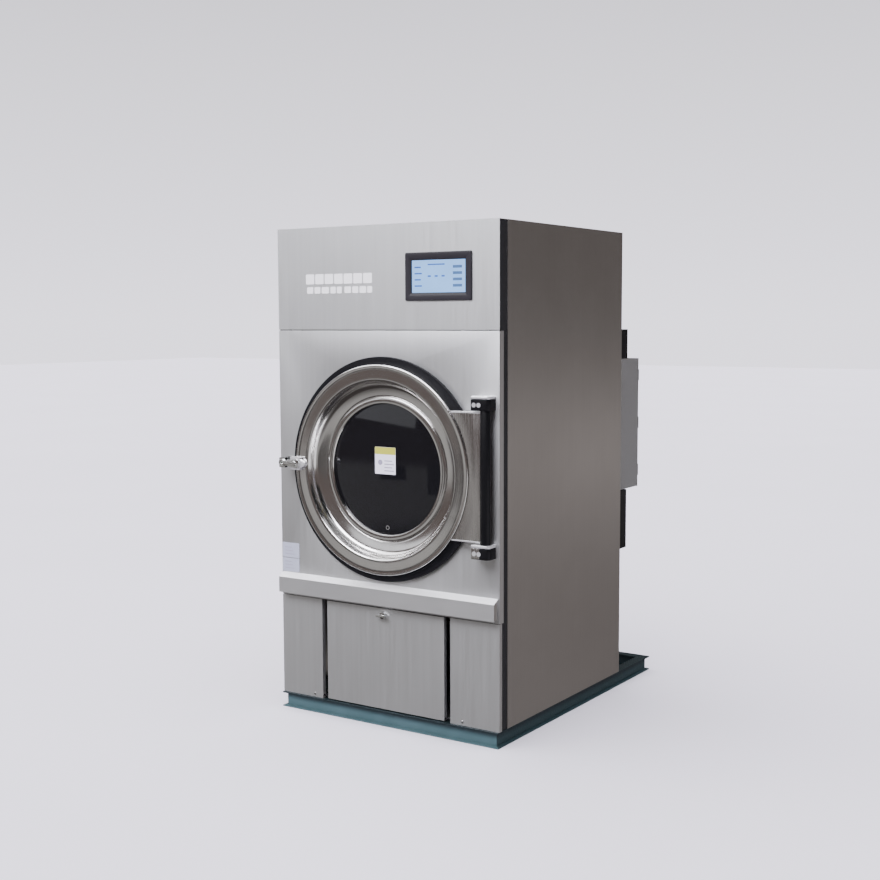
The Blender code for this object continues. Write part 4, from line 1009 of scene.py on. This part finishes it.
# ---- lint door lock
def lint_lock():
    """Wing knob with a raised grip on a stepped collar, and the cam behind it."""
    low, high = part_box("lint_lock")
    level = (low.z + high.z) / 2
    knob = lathe(at_depth([
        (HUB, 0.013), (0.008, 0.013), (0.008, -0.0003), (0.0112, -0.0003), (0.0119, -0.0012),
        (0.0119, -0.0056), (0.0108, -0.0075), (0.009, -0.0084), (HUB, -0.0085),
    ]), (LOCK_X, level), steps=48, solid=True)
    grip = sheet(bar(LOCK_X, level, 0.019, 0.0035, 0.0034, 6), "Y", back(-0.018), back(-0.0075), 0.0014)
    arm = rectangle(LOCK_X - 0.036, level - 0.0105, LOCK_X, level + 0.0105)
    cam = sheet(arm, "Y", back(0.0106), back(0.0129), 0.0004)
    show("lint_lock_knob", [knob, grip, cam], "chrome", "lint_lock", "lint_lock")


# ---- round door
def bow(centre, radius, count, stride):
    """Rounded stretch of a profile, in steps of some degrees from straight outwards towards the front."""
    turns = [math.radians(step * stride) for step in range(1, count + 1)]
    wide, deep = radius
    return [(centre[0] + wide * math.cos(turn), centre[1] - deep * math.sin(turn)) for turn in turns]


def dish_profile():
    """Ring sheet as (radius, depth) from its rear lip over the rolled edge and down to the glass seat."""
    front = [(0.3335, -0.0131), (0.3335, -0.03)]
    front += bow((0.329, -0.0305), (0.0045, 0.0045), 6, 15)
    front += [(0.3262, -0.0343), (0.3235, -0.0336), (0.315, -0.0335), (0.305, -0.0336), (0.295, -0.0338)]
    front += [(0.2895 - 0.0085 * math.sin(turn), -0.0253 - 0.0085 * math.cos(turn))
              for turn in (math.radians(step * 14) for step in range(6))]
    front += [(0.278, -0.0225), (0.2755, -0.0155), (0.2724, -0.009), (0.2686, -0.0042), (0.264, -0.0012),
              (0.258, 0.001), (0.251, 0.0033), (0.244, 0.0053), (0.237, 0.0071), (0.2325, 0.0082),
              (0.2305, 0.01), (0.2305, 0.0215), (0.212, 0.0215)]
    rear = [(0.212, 0.0235), (0.2325, 0.0235), (0.2328, 0.01), (0.2526, 0.0092), (0.2634, 0.0045),
            (0.2717, -0.0049), (0.2775, -0.0174), (0.2809, -0.0265), (0.2895, -0.0316), (0.325, -0.032),
            (0.33, -0.0315), (0.3315, -0.03), (0.3315, -0.0151), (0.306, -0.0151), (0.306, -0.0131)]
    return front + rear


def on_door(name, profile, material, node_name, smooth):
    show(name, lathe(at_depth(profile)), material, "door", node_name, smooth=smooth)


def round_door():
    """Ring, pane, gasket, trim and seal of the door, all turned about its axis."""
    on_door("ring_sheet", dish_profile(), "polished", "door_ring", 60)
    low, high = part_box("door_glass")
    front, rear = low.y - FRONT_Y, high.y - FRONT_Y
    edge = high.x
    pane = [(edge - 0.0012, front), (edge - 0.0003, front + 0.0004), (edge, front + 0.0014),
            (edge, rear - 0.0012), (edge - 0.0012, rear)]
    show("door_pane", turned(at_depth(pane), steps=ROUND), "glass", "door", "door_glass")
    gasket = [(0.2224, front + 0.0001), (0.23, front + 0.0001), (0.23, 0.0211), (0.2141, 0.0211),
              (0.2136, 0.02), (0.2141, rear + 0.0004), (0.2224, rear + 0.0004)]
    on_door("pane_gasket", gasket, "rubber", "glass_gasket", 40)
    trim = [(0.23, 0.0124), (0.23, 0.0068)] + bow((0.2192, 0.0066), (0.0107, 0.0031), 12, 12)
    trim += [(0.2128, 0.0056), (0.21, 0.0078), (0.2088, 0.0105), (0.2086, 0.0122), (0.21, 0.0124)]
    on_door("pane_trim", trim, "polished", "glass_clamp_ring", 60)
    seal = [(0.3002, -0.0126), (0.3002, -0.0009), (0.312, -0.0009), (0.316, -0.002), (0.32, -0.0009),
            (0.356, -0.0009), (0.3574, -0.0028), (0.3576, -0.0066), (0.3574, -0.0104), (0.356, -0.0126),
            (0.342, -0.0126), (0.34, -0.0118), (0.338, -0.0126)]
    on_door("seal_lip", seal, "rubber", "door_seal", 50)
    glass_label(back(front))


def glass_label(glass_face):
    """Blank two-colour label with plain lines and a dot, and a small plain ring, stuck on the glass."""
    face = glass_face - 0.0001
    printed, top = face - 0.0003, face - 0.0005
    body = prism(rounded((-0.0445, 0.815), (0.0355, 0.901), 0.002), "Y", face, printed)
    show("glass_label", body, "label", "door")
    band = prism(rounded((-0.044, 0.878), (0.035, 0.9005), 0.0015), "Y", printed, top)
    show("glass_label_band", band, "yellow", "door")
    parts = []
    for row in range(4):
        base = 0.8245 + row * 0.0105
        line = rounded((-0.008, base), (0.029 - 0.007 * (row % 2), base + 0.003), 0.0008, 2)
        parts.append(prism(line, "Y", printed, top))
    parts.append(prism(circle((-0.024, 0.852), 0.0085, 24), "Y", printed, top))
    show("glass_label_rule", parts, "ink", "door")
    outer, inner = [circle((0.003, 0.644), radius, 32) for radius in (0.007, 0.0048)]
    show("glass_mark", sheet(outer, "Y", printed, face, holes=[inner]), "grey", "door")


# ---- hinge
def hinge():
    """Plate with turned edges that joins the ring to the tube; tube, pin and the two bolted lugs."""
    low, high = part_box("hinge_plate")
    tube_low, tube_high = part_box("hinge_tube")
    pin_low, pin_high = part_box("hinge_pin")
    axis = ((tube_low.x + tube_high.x) / 2, (tube_low.y + tube_high.y) / 2)
    near = 0.3343
    span = math.degrees(math.asin((high.z - DOOR_Z) / near))
    outline = arc(DOOR_AXIS, near, -span, span, 48) + [(high.x, high.z), (high.x, low.z)]
    show("hinge_leaf", sheet(outline, "Y", low.y, low.y + 0.003, 0.0006), "leaf", "door", "hinge_plate")
    start = near * math.cos(math.radians(span)) + 0.003
    strip = rectangle(start, low.y - 0.0004, high.x, high.y)
    bottoms = (low.z, high.z - LEAF_FOLD)
    folds = [sheet(strip, "Z", bottom, bottom + LEAF_FOLD, 0.0012) for bottom in bottoms]
    show("hinge_leaf_folds", folds, "cast", "door")
    seam = [(high.x + 0.0002, low.y + 0.0035, low.z + (high.z - low.z) * step / 40) for step in range(41)]
    weld = curve_mesh([seam], False, {"dimensions": "3D", "bevel_depth": 0.0016, "bevel_resolution": 3,
                                      "use_fill_caps": True})
    show("hinge_weld", weld, "bolt", "door")
    radius = (tube_high.x - tube_low.x) / 2
    bottom, top = tube_low.z, tube_high.z
    sleeve = [(PIN_BORE, bottom), (radius - 0.0012, bottom), (radius - 0.0004, bottom + 0.0004),
              (radius, bottom + 0.0012), (radius, top - 0.0012), (radius - 0.0004, top - 0.0004),
              (radius - 0.0012, top), (PIN_BORE, top)]
    show("hinge_sleeve", lathe(sleeve, axis, "Z", 48), "black", "door", "hinge_tube")
    radius = (pin_high.x - pin_low.x) / 2
    pin = [(radius - 0.001, pin_low.z), (radius, pin_low.z + 0.001), (radius, pin_high.z - 0.001),
           (radius - 0.001, pin_high.z)]
    show("hinge_rod", turned(pin, axis, "Z"), "bolt", stands_for="hinge_pin")
    hinge_lug("top", "black", axis)
    hinge_lug("bottom", "leaf", axis)


def hinge_lug(end, foot_material, axis):
    """Bolted foot and rounded eye with the pin's bore, under a bright cap plate."""
    low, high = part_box("hinge_block_" + end)
    name = "hinge_lug_" + end
    nose = high.x - axis[0]
    turn_x = axis[0] + nose * 0.35
    outline = [(low.x, low.y), (turn_x, low.y)]
    outline += arc((turn_x, low.y + nose * 0.65), nose * 0.65, -80, 0, 6)
    outline += [(high.x, high.y), (low.x, high.y)]
    seam = high.z - LUG_CAP
    split_x = axis[0] - 0.0125
    bore = circle(axis, PIN_BORE, 32)
    eye = [(split_x + 0.0002, low.y)] + outline[1:-1] + [(split_x + 0.0002, high.y)]
    top = seam - 0.0002
    show(name, sheet(eye, "Z", low.z, top, 0.0016, [bore]), "black", stands_for="hinge_block_" + end)
    foot = sheet(rectangle(low.x, low.y, split_x, high.y), "Z", low.z, top, 0.0016)
    show(name + "_foot", foot, foot_material)
    show(name + "_cap", sheet(outline, "Z", seam, high.z, 0.004, [bore]), "cast")
    head = [(0.007, low.y), (0.007, low.y + 0.0006), (0.005, low.y + 0.0012), (0.0032, low.y + 0.0012)]
    heads = joined([turned(head, (low.x + across, (low.z + seam) / 2)) for across in (0.0105, 0.027)])
    heads.transform(Matrix.Translation((0, -0.001, 0)))
    show(name + "_bolts", heads, "cast")


# ---- door latch
def latch():
    latch_handle()
    latch_case()
    low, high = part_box("latch_tongue")
    outline = [(low.x + 0.0032, low.y), (high.x, low.y), (high.x, high.y), (low.x, high.y),
               (low.x, high.y - 0.0025)]
    tongue = sheet(outline, "Z", low.z, high.z, 0.0005)
    show("latch_bolt", tongue, "bolt", "latch_tongue", "latch_tongue")


def latch_handle():
    """Cast lever with an eye at its tip, a raised rib and a boss."""
    low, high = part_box("latch_lever")
    level = (low.z + high.z) / 2
    hub = high.x - 0.018
    rear = high.y
    eye = (low.x + 0.0135, level)
    outline = arc((hub, level), 0.0176, -62, 62, 16)
    outline += [(hub - 0.012, level + 0.0125), (eye[0] + 0.014, level + 0.0075)]
    outline += arc(eye, 0.0118, 40, 320, 22)
    outline += [(eye[0] + 0.014, level - 0.0075), (hub - 0.012, level - 0.0125)]
    plate = sheet(outline, "Y", rear - 0.0062, rear, 0.0012, [circle(eye, 0.0048, 24)])
    rib = [(eye[0] + 0.011, level - 0.0035), (hub + 0.004, level - 0.006), (hub + 0.009, level),
           (hub + 0.004, level + 0.006), (eye[0] + 0.011, level + 0.0035)]
    raised = sheet(rib, "Y", low.y + 0.0012, rear - 0.0058, 0.001)
    boss = [(0.0072, low.y), (0.0084, low.y + 0.0012), (0.009, rear - 0.006)]
    show("latch_handle", [plate, raised, turned(boss, (hub, level), steps=48)], "chrome", "latch_lever",
         "latch_lever")


def latch_case():
    """Housing of base, two cheeks and a bridge round the tongue's slot, with an arm towards the glass."""
    low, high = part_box("latch_body")
    lever_low, lever_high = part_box("latch_lever")
    level = (lever_low.z + lever_high.z) / 2
    slot_half = 0.0105
    inset = 0.001
    parts = [sheet(rounded((low.x, low.z), (high.x, high.z), 0.005), "Y", high.y - 0.003, high.y, 0.0007),
             block((low.x + inset, low.y, level - slot_half - 0.0004),
                   (high.x - inset, low.y + 0.0034, level + slot_half + 0.0004))]
    start = high.x - 0.0012
    arm = [(start, level - 0.015), *arc((high.x + ARM_REACH - 0.006, level), 0.0064, -70, 70, 10),
           (start, level + 0.015)]
    parts.append(sheet(arm, "Y", low.y + 0.0002, high.y - 0.0004, 0.0024))
    for bottom, top in ((low.z + inset, level - slot_half), (level + slot_half, high.z - inset)):
        cheek = rounded((low.x + inset, bottom), (high.x - inset, top), 0.003)
        parts.append(sheet(cheek, "Y", low.y, high.y - 0.003, 0.0008))
    show("latch_case", parts, "cast", "door", "latch_body")


def ledge_ends():
    """Small plates that close the two ends of the ledge."""
    low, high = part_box("ledge")
    front, rear = low.y + 0.0022, high.y - 0.0024
    foot = low.z + 0.001
    outline = [(front, foot), (front, high.z - 0.0165), (rear, high.z - 0.005), (rear, foot)]
    for name, side in (("ledge_end_left", -1), ("ledge_end_right", 1)):
        start, end = sorted((side * (high.x - 0.001), side * (high.x - 0.0028)))
        show(name, sheet(outline, "X", start, end, 0.0003), "side")


# ---- inside: throat and drum
def throat():
    """Front bulkhead with its smooth round collar and rolled lip."""
    low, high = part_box("front_bulkhead")
    front = back(0.07)
    wall = sheet(rectangle(low.x, low.z, high.x, high.z), "Y", front, front + SHEET,
                 holes=[circle(DOOR_AXIS, 0.2905, DISC_ROUND)])
    collar = [(0.29, 0.0034), (0.2908, 0.003), (0.2916, 0.003), (0.292, 0.0036), (0.292, 0.097),
              (0.29, 0.097)]
    show("throat_sheet", [wall, lathe(at_depth(collar))], "zinc", stands_for="front_bulkhead")


def perforated_drum():
    """Drum of sheet with staggered round holes, its front rim and its back."""
    low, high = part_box("drum_shell")
    radius = high.x - 0.001
    columns, rows = 96, 21
    hole_share = 0.28    # radius of a hole, as a share of the distance between holes
    sides = 12
    quarter = sides // 4
    step = 2 * math.pi / columns
    pitch = (high.y - low.y - 0.012) / rows
    points = []
    faces = []
    for column in range(columns):
        for row in range(rows):
            left, near = (column + 0.5 * (row % 2)) * step, row * pitch
            spots = [(left + step * a, near + pitch * b) for a, b in ((0, 0), (1, 0), (1, 1), (0, 1))]
            base = len(points)
            if row in (0, rows - 1):
                faces.append((base, base + 1, base + 2, base + 3))
            else:
                for side in range(sides):
                    turn = math.radians(45 + 360 * side / sides + 180)
                    spots.append((left + step / 2 + hole_share * step * math.cos(turn),
                                  near + pitch / 2 + hole_share * pitch * math.sin(turn)))
                for index in range(4):
                    rim = [base + 4 + (index * quarter + k) % sides for k in range(quarter + 1)]
                    faces.append((base + index, base + (index + 1) % 4, *reversed(rim)))
            points += [(radius * math.cos(turn), low.y + 0.01 + along, DOOR_Z + radius * math.sin(turn))
                       for turn, along in spots]
    skin = show("drum_skin", cleaned(raw_mesh(points, faces), 0.0001), "drum", "drum", "drum_shell")
    thick = skin.modifiers.new("sheet", "SOLIDIFY")
    thick.thickness = 0.0014
    thick.offset = 0
    flange = back(0.0855) + 0.012
    rim = lathe([(radius, flange), *at_depth([
        (radius, 0.086), (radius - 0.001, 0.0853), (0.2985, 0.0853), (0.2968, 0.0858), (0.2968, 0.0868),
        (radius - 0.002, 0.0872),
    ]), (radius - 0.002, flange)])
    show("drum_rim", rim, "drum", "drum")
    drum_back(radius)


def drum_back(radius):
    """Perforated back disc with a bolted hub plate."""
    low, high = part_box("drum_back")
    holes = []
    for ring in range(6):
        distance = 0.13 + ring * 0.04
        count = int(2 * math.pi * distance / 0.046)
        for index in range(count):
            turn = 2 * math.pi * (index + 0.5 * (ring % 2)) / count
            holes.append(circle(polar(DOOR_AXIS, distance, turn), 0.008, 10))
    disc = sheet(circle(DOOR_AXIS, radius, DISC_ROUND), "Y", low.y, high.y, holes=holes)
    show("drum_end", disc, "drum", "drum", "drum_back")
    seat = low.y - 0.0016
    plate = turned([(0.06, seat), (0.066, low.y - 0.0008), (0.068, low.y - 0.0001)], steps=96)
    show("drum_hub_plate", plate, "drum", "drum")
    spots = [around(DOOR_AXIS, 0.047, 60 * index) for index in range(6)]
    bolts = [hex_bolt(spot, seat, 0.013, 0.006, outwards=-1) for spot in spots]
    show("drum_hub_bolts", bolts, "bolt", "drum")


# ---- the whole scene
camera()
studio()
front_panel()
lint_panel()
title_bars()
film_plates()
panel_screws()
touchscreen()
lint_lock()
round_door()
hinge()
latch()
ledge_ends()
throat()
perforated_drum()
motors()
belt_cover()
rear_details()
exhaust_collar()
roof_screws()
lint_mesh()
finish_kept_nodes()
